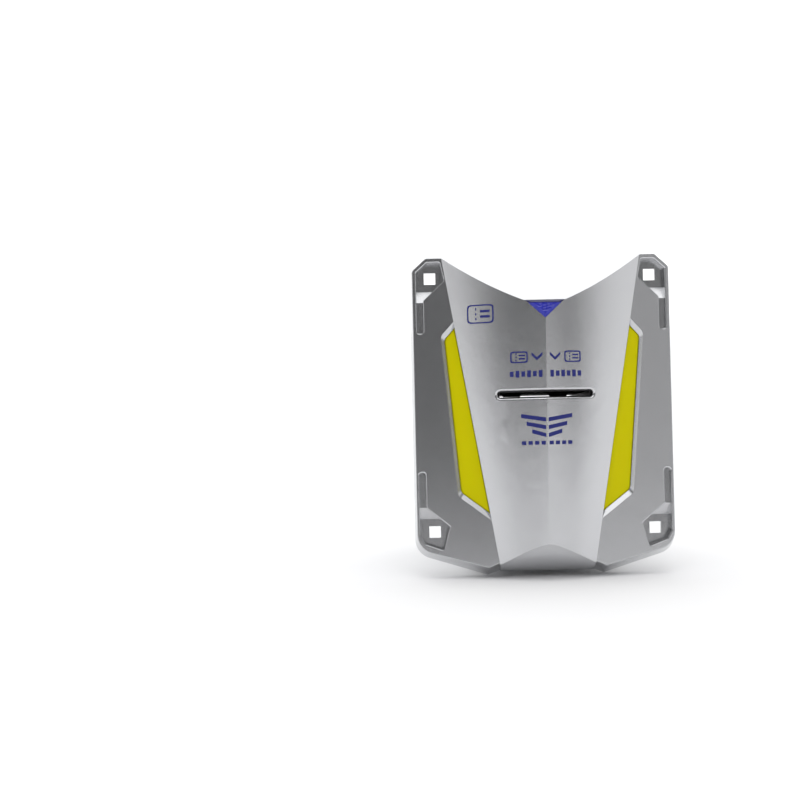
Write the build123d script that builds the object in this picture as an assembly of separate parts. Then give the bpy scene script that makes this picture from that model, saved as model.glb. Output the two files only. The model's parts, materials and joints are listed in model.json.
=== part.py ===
"""Ticket dispenser with a faceted moulded faceplate and a motor driven ticket feed behind it.

Millimetres. X runs across the front, the front faces -Y, Z is up. Y = 0 is the mounting plane,
where the faceplate's rear rim meets a cabinet, and the origin is the centre of its four bolt holes.
"""

import os
from math import atan, atan2, cos, degrees, hypot, pi, radians, sin, sqrt, tan

from build123d import *

# Faceplate outline, front view
face_half_width = 52.0
face_top = 59.4
corner_cut_x = 5.6
corner_cut_z = 5.1
lower_corner_z = -57.5
toe_x = 23.9
toe_z = -66.3
upper_corner_radius = 2.0
lower_corner_radius = 8.0
toe_radius = 0.6

# Faceplate depth: the side walls flare towards the mounting plane
edge_depth = 6.5
wing_rise = 0.13
flare_depth = 10.0
top_flare = 1.6
side_flare = 1.1
bottom_flare = 3.3
wall = 2.2

# Central prism: two bowed facets meeting at a ridge
head_wing = 11.7
prism_foot_x = 19.4
prism_foot_z = -64.6
ridge_depth = 20.9
ridge_lean = 0.0603
head_bulge = 1.4
foot_bulge = 1.3
top_face_slope = 1.44

# Chin: the curved underside of the prism
chin_apex_z = -56.5
chin_foot_depth = 5.6
chin_foot_z = -68.0
chin_bulge = 1.5

# Bolt holes and the pockets that they sit in
hole_inset_x = 7.0
hole_spacing_z = 103.5
hole_side = 4.7
pocket_floor = 2.4
groove_depth = 1.75
pocket_wall = 1.8
pocket_radius = 0.9
ramp_length = 4.6
groove_width = 2.7
groove_end_upper = 29.1
groove_end_lower = -27.4

# Light panels in the wings
panel_upper_z = 31.2
panel_shoulder_inset = 12.1
panel_shoulder_z = 26.5
panel_heel_inset = 17.5
panel_heel_z = -35.7
panel_lower_z = -44.6
panel_bevel_side = 1.2
panel_bevel_ends = 1.8
recess_depth = 1.3
panel_gap = 0.2
panel_flange = 1.5
panel_flange_thickness = 1.1
panel_corner_radius = 2.2

# Blue lens at the notch
lens_half_width = 8.0
lens_top_z = 40.7
lens_vertex_z = 33.3
lens_thickness = 1.8
lens_proud = 0.6
lens_facet = 1.0
lens_fit = 0.1
lens_seat = 3.4
lens_rim = 2.2
lamp_radius = 1.5
lamp_length = 5.0
lamp_board_half_width = 7.5
lamp_board_gap = 2.0
lamp_screw_inset = 2.0
lamp_post_radius = 1.9
lamp_pilot = 2.6
small_screw = 1.0
small_head = 1.8

# Ticket slot
slot_z = 3.25
slot_width = 38.0
slot_height = 2.8
slot_lip = 0.9
rim_round = 0.45
outline_round = 0.5

# Ticket guide
ticket_width = 35.0
channel_side_play = 0.7
channel_height = 2.0
guide_floor = 2.0
guide_rail = 2.4
guide_cap = 2.0
nozzle_gap = 0.5
nozzle_cap_end = 17.5
ear_depth = 8.0
ear_height = 4.8
guide_end = 68.0
entry_radius = 7.0

# Chassis of folded sheet steel
sheet = 1.2
frame_half_width = 28.0
frame_length = 72.8
frame_top = 34.0
frame_bottom = -62.0
front_flange = 7.5
bracket_margin = 0.3
bracket_top = 45.0
bracket_bottom = -48.0
bracket_shoulder_z = 35.5
tray_flange = 7.0
rear_wall_top = -22.0
fit_gap = 0.3
running_gap = 0.05

# Feed train
drive_y = 28.0
nip_gap = 0.3
drive_roller_radius = 7.0
drive_roller_width = 9.0
roller_hub_radius = 5.0
roller_spacing = 20.0
shaft_radius = 2.5
pinch_roller_radius = 6.0
pinch_roller_width = 8.0
pinch_hub_radius = 3.4
pinch_shaft_radius = 1.5
gear_module = 0.8
drive_teeth = 24
idler_teeth = 32
pinion_teeth = 16
gear_width = 5.0
gear_offset = 2.4
gear_backlash = 0.12
idler_turn = 38.7
motor_turn = 238.6
gearbox_radius = 14.0
gearbox_length = 17.0
motor_radius = 12.2
motor_length = 29.0
gearbox_bore = 12.0
motor_shaft_reach = 11.0
motor_screw_length = 6.5

# Lift-up cover with the sprung pinch arm
cover_gap = 0.3
cover_wall = 1.6
cover_plate = 2.0
hinge_setback = 9.8
hinge_z = 14.5
hinge_radius = 3.4
pin_radius = 1.5
arm_pivot_y = 44.0
arm_pivot_z = 12.0
arm_thickness = 1.5
arm_height = 5.0
web_near = 8.0
web_far = 2.0
spring_length = 6.0
spring_radius = 2.3
spring_wall = 0.5
spring_spacing = 18.0
bridge_thickness = 2.0

# Electronics
board_thickness = 1.6
board_width = 48.0
board_length = 23.0
board_rear_gap = 1.5
board_hole_inset = 3.0
standoff_height = 4.0
standoff_radius = 3.0
connector_width = 22.0
connector_height = 8.5
connector_depth = 9.0
connector_wall = 1.0
connector_gap = 0.8
connector_proud = 2.5
pin_pitch = 3.0
pin_side = 1.0
relay_edge = 7.0
relay_width = 6.0
relay_length = 10.0
relay_height = 9.0
small_chip_gap = 1.0
small_chip_length = 7.0
small_chip_height = 2.2
large_chip_width = 13.0
large_chip_length = 8.0
large_chip_height = 3.0
chip_gap = 4.0
parts_row = 3.0
capacitor_radius = 3.2
capacitor_height = 8.0
capacitor_gap = 3.3
capacitor_row = 17.0
sensor_setback = 18.0
sensor_boss_x = 8.0
sensor_boss_radius = 2.3
sensor_drop = 2.6
sensor_half_width = 11.0
sensor_half_length = 5.0
sensor_screw_length = 3.2
eye_half_width = 2.2
eye_half_length = 1.8
eye_play = 0.4
button_radius = 4.2
button_travel = 2.0
button_inset = 13.0
button_drop = 12.0
barrel_wall = 1.6
barrel_length = 8.0
barrel_proud = 2.5
barrel_flange = 1.2
nut_reach = 2.2
nut_height = 2.4

# Screws
screw_radius = 1.5
screw_head_radius = 2.7
screw_head_height = 1.7
boss_radius = 3.2
boss_pilot = 8.0
strip_post_radius = 2.4
strip_pilot = 3.0
strip_head = 2.2
strip_board_gap = 0.4
strip_boss_upper_z = 39.2
strip_boss_upper_inset = 2.31
strip_boss_lower_z = -51.0
strip_boss_lower_inset = 1.29
chassis_boss_upper_z = 40.5
chassis_boss_inset = 7.0
chassis_boss_lower_x = 13.5
chassis_boss_lower_z = -43.5
shoulder_gap = 1.4

# Worked out from the sizes above
wing_angle = degrees(atan(wing_rise))
prism_head_x = face_half_width - head_wing
hole_spacing_x = 2 * (face_half_width - hole_inset_x)
panel_shoulder_x = face_half_width - panel_shoulder_inset
panel_heel_x = face_half_width - panel_heel_inset
prism_head_z = face_top
top_edge_depth = edge_depth + wing_rise * (face_half_width - prism_head_x)
floor_z = slot_z - channel_height / 2
ceiling_z = slot_z + channel_height / 2
channel_half = ticket_width / 2 + channel_side_play
guide_half = channel_half + guide_rail
drive_z = slot_z - nip_gap / 2 - drive_roller_radius
pinch_z = slot_z + nip_gap / 2 + pinch_roller_radius
frame_rear = sheet + frame_length
hinge_y = frame_length - hinge_setback
frame_outer = frame_half_width + sheet
gear_x = frame_outer + gear_offset


def wing_depth(x):
    """Depth of the wing faces in front of the mounting plane."""
    return edge_depth + wing_rise * (face_half_width - abs(x))


def prism_half(z):
    """Half width of the prism where it meets the wings."""
    share = (z - prism_foot_z) / (prism_head_z - prism_foot_z)
    return prism_foot_x + (prism_head_x - prism_foot_x) * share


def ridge_y(z):
    """Y of the ridge."""
    return -(ridge_depth + ridge_lean * z)


def front_plane(y):
    """Plane seen from the front at one depth, X across and Z up."""
    return Plane(origin=(0, y, 0), x_dir=(1, 0, 0), z_dir=(0, -1, 0))


def side_plane(x):
    """Plane seen from the right side at one X, Y across and Z up."""
    return Plane(origin=(x, 0, 0), x_dir=(0, 1, 0), z_dir=(1, 0, 0))


def wing_plane(depth):
    """The right wing's face moved back by a depth, with X still measured along the front."""
    tilt = radians(wing_angle)
    origin = (depth * -sin(tilt) + face_half_width, depth * cos(tilt) - edge_depth, 0)
    return Plane(origin=origin, x_dir=(cos(tilt), sin(tilt), 0), z_dir=(sin(tilt), -cos(tilt), 0))


def on_wing(corners):
    """Front view corners as the right wing's own plane has them."""
    return [((x - face_half_width) / cos(radians(wing_angle)), z) for x, z in corners]


def grow(corners, distances):
    """Corners of a clockwise outline whose sides each move outwards by their own distance."""
    count = len(corners)
    lines = []
    for i in range(count):
        (x0, y0), (x1, y1) = corners[i], corners[(i + 1) % count]
        length = hypot(x1 - x0, y1 - y0)
        normal = (-(y1 - y0) / length, (x1 - x0) / length)
        lines.append((normal, normal[0] * x0 + normal[1] * y0 + distances[i]))
    moved = []
    for i in range(count):
        (a, b), p = lines[i - 1]
        (c, d), q = lines[i]
        scale = a * d - b * c
        moved.append(((p * d - b * q) / scale, (a * q - p * c) / scale))
    return moved


def rounded_face(corners, radii):
    """Flat face with straight sides and a rounded corner wherever a radius is given."""
    count = len(corners)
    runs = []
    for i in range(count):
        here = Vector(*corners[i])
        back = (Vector(*corners[i - 1]) - here).normalized()
        ahead = (Vector(*corners[(i + 1) % count]) - here).normalized()
        if radii[i] == 0:
            runs.append((here, None, here))
            continue
        half = radians(back.get_angle(ahead)) / 2
        middle = (back + ahead).normalized()
        reach = radii[i] / tan(half)
        crown = here + middle * (radii[i] / sin(half) - radii[i])
        runs.append((here + back * reach, crown, here + ahead * reach))
    edges = []
    for i in range(count):
        start, crown, end = runs[i]
        if crown is not None:
            edges.append(ThreePointArc(start, crown, end))
        edges.append(Line(end, runs[(i + 1) % count][0]))
    return make_face(edges)


def mirrored(shape):
    """The same shape on the other side of the centre plane."""
    return mirror(shape, about=Plane.YZ)


def rod_x(x0, x1, y, z, radius):
    """Round rod along X."""
    return extrude(side_plane(x0) * Pos(y, z) * Circle(radius), x1 - x0)


def rod_y(y0, y1, x, z, radius):
    """Round rod along Y."""
    return extrude(front_plane(y1) * Pos(x, z) * Circle(radius), y1 - y0)


def rod_z(z0, z1, x, y, radius):
    """Round rod along Z."""
    return extrude(Plane.XY.offset(z0) * Pos(x, y) * Circle(radius), z1 - z0)


def block(x0, x1, y0, y1, z0, z1):
    """Rectangular block between two corners."""
    centre = ((x0 + x1) / 2, (y0 + y1) / 2, (z0 + z1) / 2)
    return Pos(*centre) * Box(x1 - x0, y1 - y0, z1 - z0)


def slab_x(points, x0, x1):
    """Straight sided outline in side view, carried from one X to another."""
    return extrude(side_plane(x0) * make_face(Polyline(*points, close=True)), x1 - x0)


# Faceplate
face_corners = [
    (-face_half_width, face_top - corner_cut_z),
    (-face_half_width + corner_cut_x, face_top),
    (face_half_width - corner_cut_x, face_top),
    (face_half_width, face_top - corner_cut_z),
    (face_half_width, lower_corner_z),
    (toe_x, toe_z),
    (prism_foot_x, prism_foot_z),
    (-prism_foot_x, prism_foot_z),
    (-toe_x, toe_z),
    (-face_half_width, lower_corner_z),
]
corner_flare = (top_flare + side_flare) / 2
notch_flare = prism_foot_z - chin_foot_z
face_flares = [corner_flare, top_flare, corner_flare, side_flare, bottom_flare]
face_flares += [bottom_flare, notch_flare, bottom_flare, bottom_flare, side_flare]
face_radii = [upper_corner_radius] * 4 + [lower_corner_radius, toe_radius, 0, 0, toe_radius]
face_radii += [lower_corner_radius]


def outline_at(y, inset):
    """The faceplate's outline at one depth, with the flare of its side walls."""
    share = 1 + y / flare_depth
    distances = [flare * share - inset for flare in face_flares]
    return front_plane(y) * rounded_face(grow(face_corners, distances), face_radii)


def prism_section(z, inset):
    """Cross section of the prism, its back reaching behind the mounting plane."""
    share = (z - prism_foot_z) / (prism_head_z - prism_foot_z)
    bulge = foot_bulge + (head_bulge - foot_bulge) * share
    half = prism_half(z)
    edge = Vector(half, -wing_depth(half))
    ridge = Vector(0, ridge_y(z))
    chord = edge - ridge
    shift = inset / cos(atan2(chord.Y, chord.X))
    out = Vector(chord.Y, -chord.X).normalized() * bulge
    crown = ridge + chord / 2 + out
    edge = edge - Vector(inset, 0)
    points = [Vector(p.X, p.Y + shift, z) for p in (edge, crown, ridge)]
    edge, crown, ridge = points
    other_edge = Vector(-edge.X, edge.Y, z)
    other_crown = Vector(-crown.X, crown.Y, z)
    back = 0 if inset == 0 else 1
    facets = [ThreePointArc(edge, crown, ridge), ThreePointArc(ridge, other_crown, other_edge)]
    sides = Polyline(other_edge, (other_edge.X, back, z), (edge.X, back, z), edge)
    return make_face(facets + [sides])


def chin_cut(inset):
    """What lies under the chin, whose profile is one arc from the lower edge to the ridge."""
    apex = (ridge_y(chin_apex_z), chin_apex_z)
    foot = (-chin_foot_depth, chin_foot_z)
    rise, run = apex[1] - foot[1], foot[0] - apex[0]
    chord = hypot(rise, run)
    radius = chord**2 / (8 * chin_bulge) + chin_bulge / 2
    centre_y = (apex[0] + foot[0]) / 2 + (radius - chin_bulge) * rise / chord
    centre_z = (apex[1] + foot[1]) / 2 + (radius - chin_bulge) * run / chord
    inner = radius - inset
    start_z = chin_foot_z + inset
    start_y = centre_y - sqrt(inner**2 - (start_z - centre_z) ** 2)
    turn = atan2(start_z - centre_z, start_y - centre_y) - pi
    middle = (centre_y + inner * cos(pi + turn / 2), centre_z + inner * sin(pi + turn / 2))
    front, under = -60, chin_foot_z - 20
    arc = ThreePointArc((start_y, start_z), middle, (centre_y - inner, centre_z))
    rest = Polyline((centre_y - inner, centre_z), (front, centre_z), (front, under), (2, under))
    close = Polyline((2, under), (2, start_z), (start_y, start_z))
    reach = prism_foot_x + 0.001
    return extrude(side_plane(-reach) * make_face([arc, rest, close]), 2 * reach)


def faceplate_form(inset):
    """The faceplate's outer form, or with an inset the hollow that leaves an even wall."""
    back = 0 if inset == 0 else 1
    front = -(edge_depth + wing_rise * face_half_width) - 1
    body = loft([outline_at(back, inset), outline_at(front, inset)], ruled=True)
    shift = inset / cos(radians(wing_angle))
    side = face_half_width * 2
    wedge_points = [(-side, 5), (-side, shift - wing_depth(0) + wing_rise * side)]
    wedge_points += [(0, shift - wing_depth(0)), (side, wedge_points[1][1]), (side, 5)]
    wedge = extrude(Plane.XY.offset(-side) * make_face(Polyline(*wedge_points, close=True)), 2 * side)
    body = body & wedge
    prism = loft([prism_section(chin_foot_z, inset), prism_section(face_top, inset)], ruled=True)
    form = body + prism
    drop = inset * hypot(1, top_face_slope)
    top_points = []
    for y in (-top_edge_depth - 40, -top_edge_depth + 12):
        top_points.append((y, face_top + top_face_slope * (y + top_edge_depth) - drop))
    top_points += [(top_points[1][0], 120), (-120, 120), (-120, top_points[0][1])]
    form = form - slab_x(top_points, -side, side)
    if inset:
        form = form - block(-side, side, -60, 5, face_top - inset, face_top + 20)
    return form - chin_cut(inset)


outer_form = faceplate_form(0)
hollow = faceplate_form(wall)

# Corner pockets, upper and lower, as seen from the front on the right side
half_x, half_z = hole_spacing_x / 2, hole_spacing_z / 2
upper_pocket = [
    (half_x - 5.6, half_z - 1.4),
    (half_x - 4.0, half_z + 6.1),
    (half_x + 1.2, half_z + 6.1),
    (half_x + 5.7, half_z + 2.2),
    (half_x + 5.7, groove_end_upper),
    (half_x + 5.7 - groove_width, groove_end_upper),
    (half_x + 5.7 - groove_width, half_z - 9.4),
]
lower_pocket = [
    (half_x + 6.1 - groove_width, 9.9 - half_z),
    (half_x + 6.1 - groove_width, groove_end_lower),
    (half_x + 6.1, groove_end_lower),
    (half_x + 6.1, -half_z - 0.8),
    (half_x + 3.9, -half_z - 4.7),
    (half_x - 3.3, -half_z - 7.3),
    (half_x - 6.0, 2.4 - half_z),
]
end_radius = groove_width * 0.42
upper_radii = [pocket_radius] * 4 + [end_radius, end_radius, pocket_radius]
lower_radii = [pocket_radius, end_radius, end_radius] + [pocket_radius] * 4


def pocket_solids(corners, radii, up):
    """The pocket's hollow and the walled block that carries it, on the right side."""
    floor_edge = up * half_z - up * 5.4
    ramp_end = floor_edge - up * ramp_length
    groove_y = groove_depth - wing_depth(half_x + 4)
    far, near, front = up * 80, up * 20, -30
    hollow_side = [(-pocket_floor, far), (-pocket_floor, floor_edge), (groove_y, ramp_end)]
    hollow_side += [(groove_y, near), (front, near), (front, far)]
    ring = [pocket_wall] * len(corners)
    cut = extrude(front_plane(5) * rounded_face(corners, radii), 40)
    cut = cut & slab_x(hollow_side, 0, 80)
    block_side = [(0, far), (0, floor_edge - up * pocket_wall), (groove_y + pocket_wall, ramp_end)]
    block_side += [(groove_y + pocket_wall, near), (front, near), (front, far)]
    around = [radius + pocket_wall for radius in radii]
    body = extrude(front_plane(0) * rounded_face(grow(corners, ring), around), 40)
    return cut, body & slab_x(block_side, 0, 80)


upper_cut, upper_block = pocket_solids(upper_pocket, upper_radii, 1)
lower_cut, lower_block = pocket_solids(lower_pocket, lower_radii, -1)

# Light panel outline on the right wing, clockwise from its upper tip
panel_corners = [
    (prism_half(panel_upper_z), panel_upper_z),
    (panel_shoulder_x, panel_shoulder_z),
    (panel_heel_x, panel_heel_z),
    (prism_half(panel_lower_z), panel_lower_z),
]
panel_radii = [0, panel_corner_radius, panel_corner_radius + 0.8, 0]
panel_bevels = [panel_bevel_ends, panel_bevel_side, panel_bevel_ends, 0]


def panel_face(depth, distances, radii):
    """The panel's outline on a plane parallel to the right wing, with its sides moved."""
    return wing_plane(depth) * rounded_face(on_wing(grow(panel_corners, distances)), radii)


def solid_between(first, second):
    """Straight sided solid between two outlines."""
    return loft([first, second], ruled=True)


wide_radii = [0, panel_corner_radius + 2 * panel_bevel_side, panel_corner_radius + 2, 0]
recess = solid_between(
    panel_face(recess_depth, [0, 0, 0, 0], panel_radii),
    panel_face(-recess_depth, [2 * bevel for bevel in panel_bevels], wide_radii),
)
window = solid_between(
    panel_face(recess_depth - 0.2, [0, 0, 0, 0], panel_radii),
    panel_face(wall + 3, [0, 0, 0, 0], panel_radii),
)


# Blue lens, in a plane that leans from the ridge back to the top face
vertex_y = ridge_y(lens_vertex_z)
lens_top_y = -top_edge_depth - (face_top - lens_top_z) / top_face_slope
lens_rise = hypot(lens_top_z - lens_vertex_z, lens_top_y - vertex_y)
lens_lean = atan2(lens_top_y - vertex_y, lens_top_z - lens_vertex_z)
lamp_rise = lens_rise * 0.62


def lens_plane(depth):
    """Plane of the lens's front, moved back by a depth."""
    normal = Vector(0, -cos(lens_lean), sin(lens_lean))
    origin = Vector(0, vertex_y, lens_vertex_z) - normal * depth
    return Plane(origin=origin, x_dir=(1, 0, 0), z_dir=normal)


def lens_triangle(depth, growth):
    """The lens's outline, grown or shrunk, at one depth behind its front."""
    corners = [(-lens_half_width, lens_rise), (lens_half_width, lens_rise), (0, 0)]
    return lens_plane(depth) * rounded_face(grow(corners, [growth] * 3), [0, 0, 0])


def lens_rod(start, end, x, radius):
    """Round rod square to the lens, between two depths behind its front."""
    place = lens_plane(end) * Pos(x, lamp_rise)
    return extrude(place * Circle(radius), end - start)


lens_back = lens_thickness + lens_seat
lamp_board_depth = lens_back + lamp_board_gap
lens_block = extrude(lens_triangle(lens_back, lens_rim), lens_back + 2) & outer_form
lamp_posts, lamp_pilots = [], []
for side in (-1, 1):
    post_x = side * (lamp_board_half_width - lamp_screw_inset)
    lamp_posts.append(lens_rod(lens_thickness + 1, lamp_board_depth, post_x, lamp_post_radius))
    pilot_run = lamp_board_depth - lamp_pilot, lamp_board_depth + 1
    lamp_pilots.append(lens_rod(*pilot_run, post_x, small_screw + 0.05))

# Screw bosses behind the faceplate: chassis bosses and lamp board bosses
upper_strip_x = prism_half(strip_boss_upper_z) - strip_boss_upper_inset
lower_strip_x = prism_half(strip_boss_lower_z) - strip_boss_lower_inset
strip_bosses = [(upper_strip_x, strip_boss_upper_z), (lower_strip_x, strip_boss_lower_z)]
bracket_shoulder_x = upper_strip_x - strip_head - shoulder_gap
chassis_bosses = [(bracket_shoulder_x - chassis_boss_inset, chassis_boss_upper_z)]
chassis_bosses.append((chassis_boss_lower_x, chassis_boss_lower_z))
strip_board_y = -strip_board_gap - sheet


def boss_solids(places, back, radius, pilot):
    """Bosses from a depth to the inside of the front wall, and their pilot holes, both sides."""
    bosses, holes = [], []
    for x, z in places:
        for side in (-1, 1):
            bosses.append(rod_y(-40, back, side * x, z, radius) & outer_form)
            holes.append(rod_y(back - pilot, 5, side * x, z, screw_radius + 0.05))
    return bosses, holes


chassis_posts, chassis_pilots = boss_solids(chassis_bosses, 0, boss_radius, boss_pilot)
strip_posts, strip_pilots = boss_solids(strip_bosses, strip_board_y, strip_post_radius, strip_pilot)


def slot_tool(growth):
    """The ticket slot's outline with rounded ends, carried through the front wall."""
    outline = SlotOverall(slot_width + 2 * growth, slot_height + 2 * growth)
    return extrude(front_plane(-3) * Pos(0, slot_z) * outline, 40)


faceplate = outer_form - hollow
for cut, body in ((upper_cut, upper_block), (lower_cut, lower_block)):
    body = body & outer_form
    faceplate = faceplate + body + mirrored(body)
faceplate = faceplate + lens_block
for post in chassis_posts + strip_posts + lamp_posts:
    faceplate = faceplate + post
for cut in (upper_cut, lower_cut, recess, window):
    faceplate = faceplate - cut - mirrored(cut)
for x in (-half_x, half_x):
    for z in (-half_z, half_z):
        faceplate = faceplate - Pos(x, 0, z) * Box(hole_side, 10, hole_side)
for pilot in chassis_pilots + strip_pilots + lamp_pilots:
    faceplate = faceplate - pilot
faceplate = faceplate - extrude(lens_triangle(lens_thickness, 0), lens_thickness + 5)
faceplate = faceplate - lens_rod(0, lens_back + 1, 0, lamp_radius + 0.3)
faceplate = faceplate - slot_tool(0)


def wing_faces(shape):
    """The two flat wing faces."""
    tilt = sin(radians(wing_angle))
    flat = [face for face in shape.faces() if face.geom_type == GeomType.PLANE]
    facing = [face for face in flat if face.normal_at().Y < -0.9]
    facing = [face for face in facing if abs(face.normal_at().Z) < 0.001]
    wings = [face for face in facing if abs(abs(face.normal_at().X) - tilt) < 0.001]
    return sorted(wings, key=lambda face: -face.area)[:2]


def on_outline(edge):
    """Whether a wing face's edge belongs to the plate's outer edge, clear of the notch."""
    x, z = abs(edge.center().X), edge.center().Z
    upper = z > face_top - corner_cut_z and x > prism_head_x + 0.2
    lower = z < lower_corner_z + 0.5 and x > toe_x - 0.7
    return x > face_half_width - 1 or upper or lower


def on_slot_lip(edge):
    """Whether an edge is one of the slot's outer edges."""
    if edge.length < 1 or abs(edge.center().Z - slot_z) > slot_height / 2 + 0.2:
        return False
    for share in (0, 0.5, 1):
        point = edge.position_at(share)
        half = prism_half(point.Z)
        chord = -wing_depth(half) - ridge_y(point.Z)
        if point.Y > ridge_y(point.Z) + chord * abs(point.X) / half + 0.3:
            return False
    return abs(edge.center().X) < slot_width / 2 + 0.3


outline_edges = [e for face in wing_faces(faceplate) for e in face.outer_wire().edges() if on_outline(e)]
faceplate = fillet(outline_edges, outline_round)
rim_edges = [e for face in wing_faces(faceplate) for w in face.inner_wires() for e in w.edges()]
faceplate = fillet(rim_edges, rim_round)
faceplate = fillet([e for e in faceplate.edges() if on_slot_lip(e)], slot_lip)

# Light panels: a window plug with a flange behind the wall
flange_growth = [panel_flange, panel_flange, panel_flange, panel_flange * 0.8]
plug = solid_between(
    panel_face(recess_depth, [-panel_gap] * 4, [0, panel_corner_radius, panel_corner_radius + 0.8, 0]),
    panel_face(wall + 0.01, [-panel_gap] * 4, [0, panel_corner_radius, panel_corner_radius + 0.8, 0]),
)
flange = solid_between(
    panel_face(wall, flange_growth, [0, 3, 3, 0]),
    panel_face(wall + panel_flange_thickness, flange_growth, [0, 3, 3, 0]),
)
right_light_panel = plug + flange
left_light_panel = mirrored(right_light_panel)

# LED strip boards behind the panels
strip_growth = 0.6
strip = rounded_face(grow(panel_corners, [strip_growth] * 4), [1.5] * 4)
strip_board = extrude(front_plane(strip_board_y + sheet) * strip, sheet)
strip_ends = [(panel_shoulder_x - 3.6, panel_shoulder_z), (panel_corners[3][0] + 1.6, panel_lower_z + 2.5)]
for (x, z), (end_x, end_z) in zip(strip_bosses, strip_ends):
    reach = hypot(x - end_x, z - end_z)
    place = Pos((x + end_x) / 2, (z + end_z) / 2) * Rot(0, 0, degrees(atan2(z - end_z, x - end_x)))
    tab = place * SlotOverall(reach + 6.4, 6.4)
    strip_board = strip_board + extrude(front_plane(strip_board_y + sheet) * tab, sheet)
for x, z in strip_bosses:
    strip_board = strip_board - rod_y(-5, 5, x, z, screw_radius + 0.1)
strip_leds = []
led_count = 6
led_size = (3.5, 1.0, 2.8)
for i in range(led_count):
    share = (i + 0.5) / led_count
    z = panel_shoulder_z + (panel_heel_z - panel_shoulder_z) * share
    middle_x = (prism_half(z) + panel_shoulder_x + (panel_heel_x - panel_shoulder_x) * share) / 2
    led = Pos(middle_x, strip_board_y - led_size[1] / 2, z) * Box(*led_size)
    strip_leds += [led, mirrored(led)]


def screw(length, radius=screw_radius, head=screw_head_radius):
    """Pan head screw standing on its tip, its head's underside at Z = 0 and its shank below."""
    shank = Pos(0, 0, -length / 2) * Cylinder(radius, length)
    cap = Pos(0, 0, screw_head_height / 2) * Cylinder(head, screw_head_height)
    cap = chamfer(cap.edges().sort_by(Axis.Z)[-1], screw_head_height * 0.3, screw_head_height * 0.45)
    recess_cross = Box(head * 1.1, 0.7, 1.6) + Box(0.7, head * 1.1, 1.6)
    return shank + cap - Pos(0, 0, screw_head_height) * recess_cross


def screw_facing(place, direction, length, head=screw_head_radius):
    """A screw with the underside of its head at a place, its head towards a direction."""
    across = (1, 0, 0) if abs(direction[0]) < 0.5 else (0, 1, 0)
    return Plane(origin=place, x_dir=across, z_dir=direction) * screw(length, head=head)


strip_screws = []
for x, z in strip_bosses:
    for side in (-1, 1):
        place = (side * x, strip_board_y + sheet, z)
        strip_screws.append(screw_facing(place, (0, 1, 0), sheet + strip_pilot - 0.6, strip_head))

# Blue lens with its lamp
lens_back_face = lens_triangle(lens_thickness, -lens_fit)
lens_front_face = lens_triangle(0, -lens_fit)
lens_top_face = lens_triangle(-lens_proud, -lens_fit - lens_facet)
jewel_lens = solid_between(lens_back_face, lens_front_face) + solid_between(lens_front_face, lens_top_face)
lamp_board = extrude(
    lens_plane(lamp_board_depth + sheet) * Pos(0, lamp_rise) * Rectangle(2 * lamp_board_half_width, 6.5),
    sheet,
)
lamp_screws = []
for side in (-1, 1):
    hole_x = side * (lamp_board_half_width - lamp_screw_inset)
    lamp_board = lamp_board - lens_rod(lamp_board_depth - 1, lamp_board_depth + 3, hole_x, small_screw + 0.1)
    head = lens_plane(lamp_board_depth + sheet) * Pos(hole_x, lamp_rise) * Rot(180, 0, 0)
    lamp_screws.append(head * screw(sheet + lamp_pilot - 0.4, small_screw, small_head))
lamp_flange = lens_rod(lamp_board_depth - 1, lamp_board_depth, 0, lamp_radius + 0.25)
lamp_body = lens_rod(lamp_board_depth - lamp_length + lamp_radius, lamp_board_depth, 0, lamp_radius)
lamp_dome = lens_plane(lamp_board_depth - lamp_length + lamp_radius) * Pos(0, lamp_rise)
jewel_lamp = lamp_body + lamp_flange + lamp_dome * Sphere(lamp_radius)

# Front bracket that carries the feed mechanism
nozzle_window = block(
    -guide_half - fit_gap, guide_half + fit_gap, -1, 5,
    floor_z - guide_floor - fit_gap, ceiling_z + guide_cap + fit_gap,
)
bracket_half_width = frame_outer + front_flange + bracket_margin
bracket_corners = [
    (-bracket_half_width, bracket_shoulder_z), (-bracket_shoulder_x, bracket_shoulder_z),
    (-bracket_shoulder_x, bracket_top), (bracket_shoulder_x, bracket_top),
    (bracket_shoulder_x, bracket_shoulder_z), (bracket_half_width, bracket_shoulder_z),
    (bracket_half_width, bracket_bottom), (-bracket_half_width, bracket_bottom),
]
bracket_radii = [2, 0, 4, 4, 0, 2, 4, 4]
bracket = extrude(front_plane(sheet) * rounded_face(bracket_corners, bracket_radii), sheet)
bracket = bracket - nozzle_window
flange_screws = [frame_top - 9, bracket_bottom + 11]
flange_x = frame_outer + front_flange / 2
chassis_screws, frame_screws = [], []
for x, z in chassis_bosses:
    for side in (-1, 1):
        bracket = bracket - rod_y(-1, 5, side * x, z, screw_radius + 0.1)
        chassis_screws.append(screw_facing((side * x, sheet, z), (0, 1, 0), boss_pilot))
for z in flange_screws:
    for side in (-1, 1):
        bracket = bracket - rod_y(-1, 5, side * flange_x, z, screw_radius + 0.05)
        frame_screws.append(screw_facing((side * flange_x, 2 * sheet, z), (0, 1, 0), 2 * sheet - 0.1))

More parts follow.
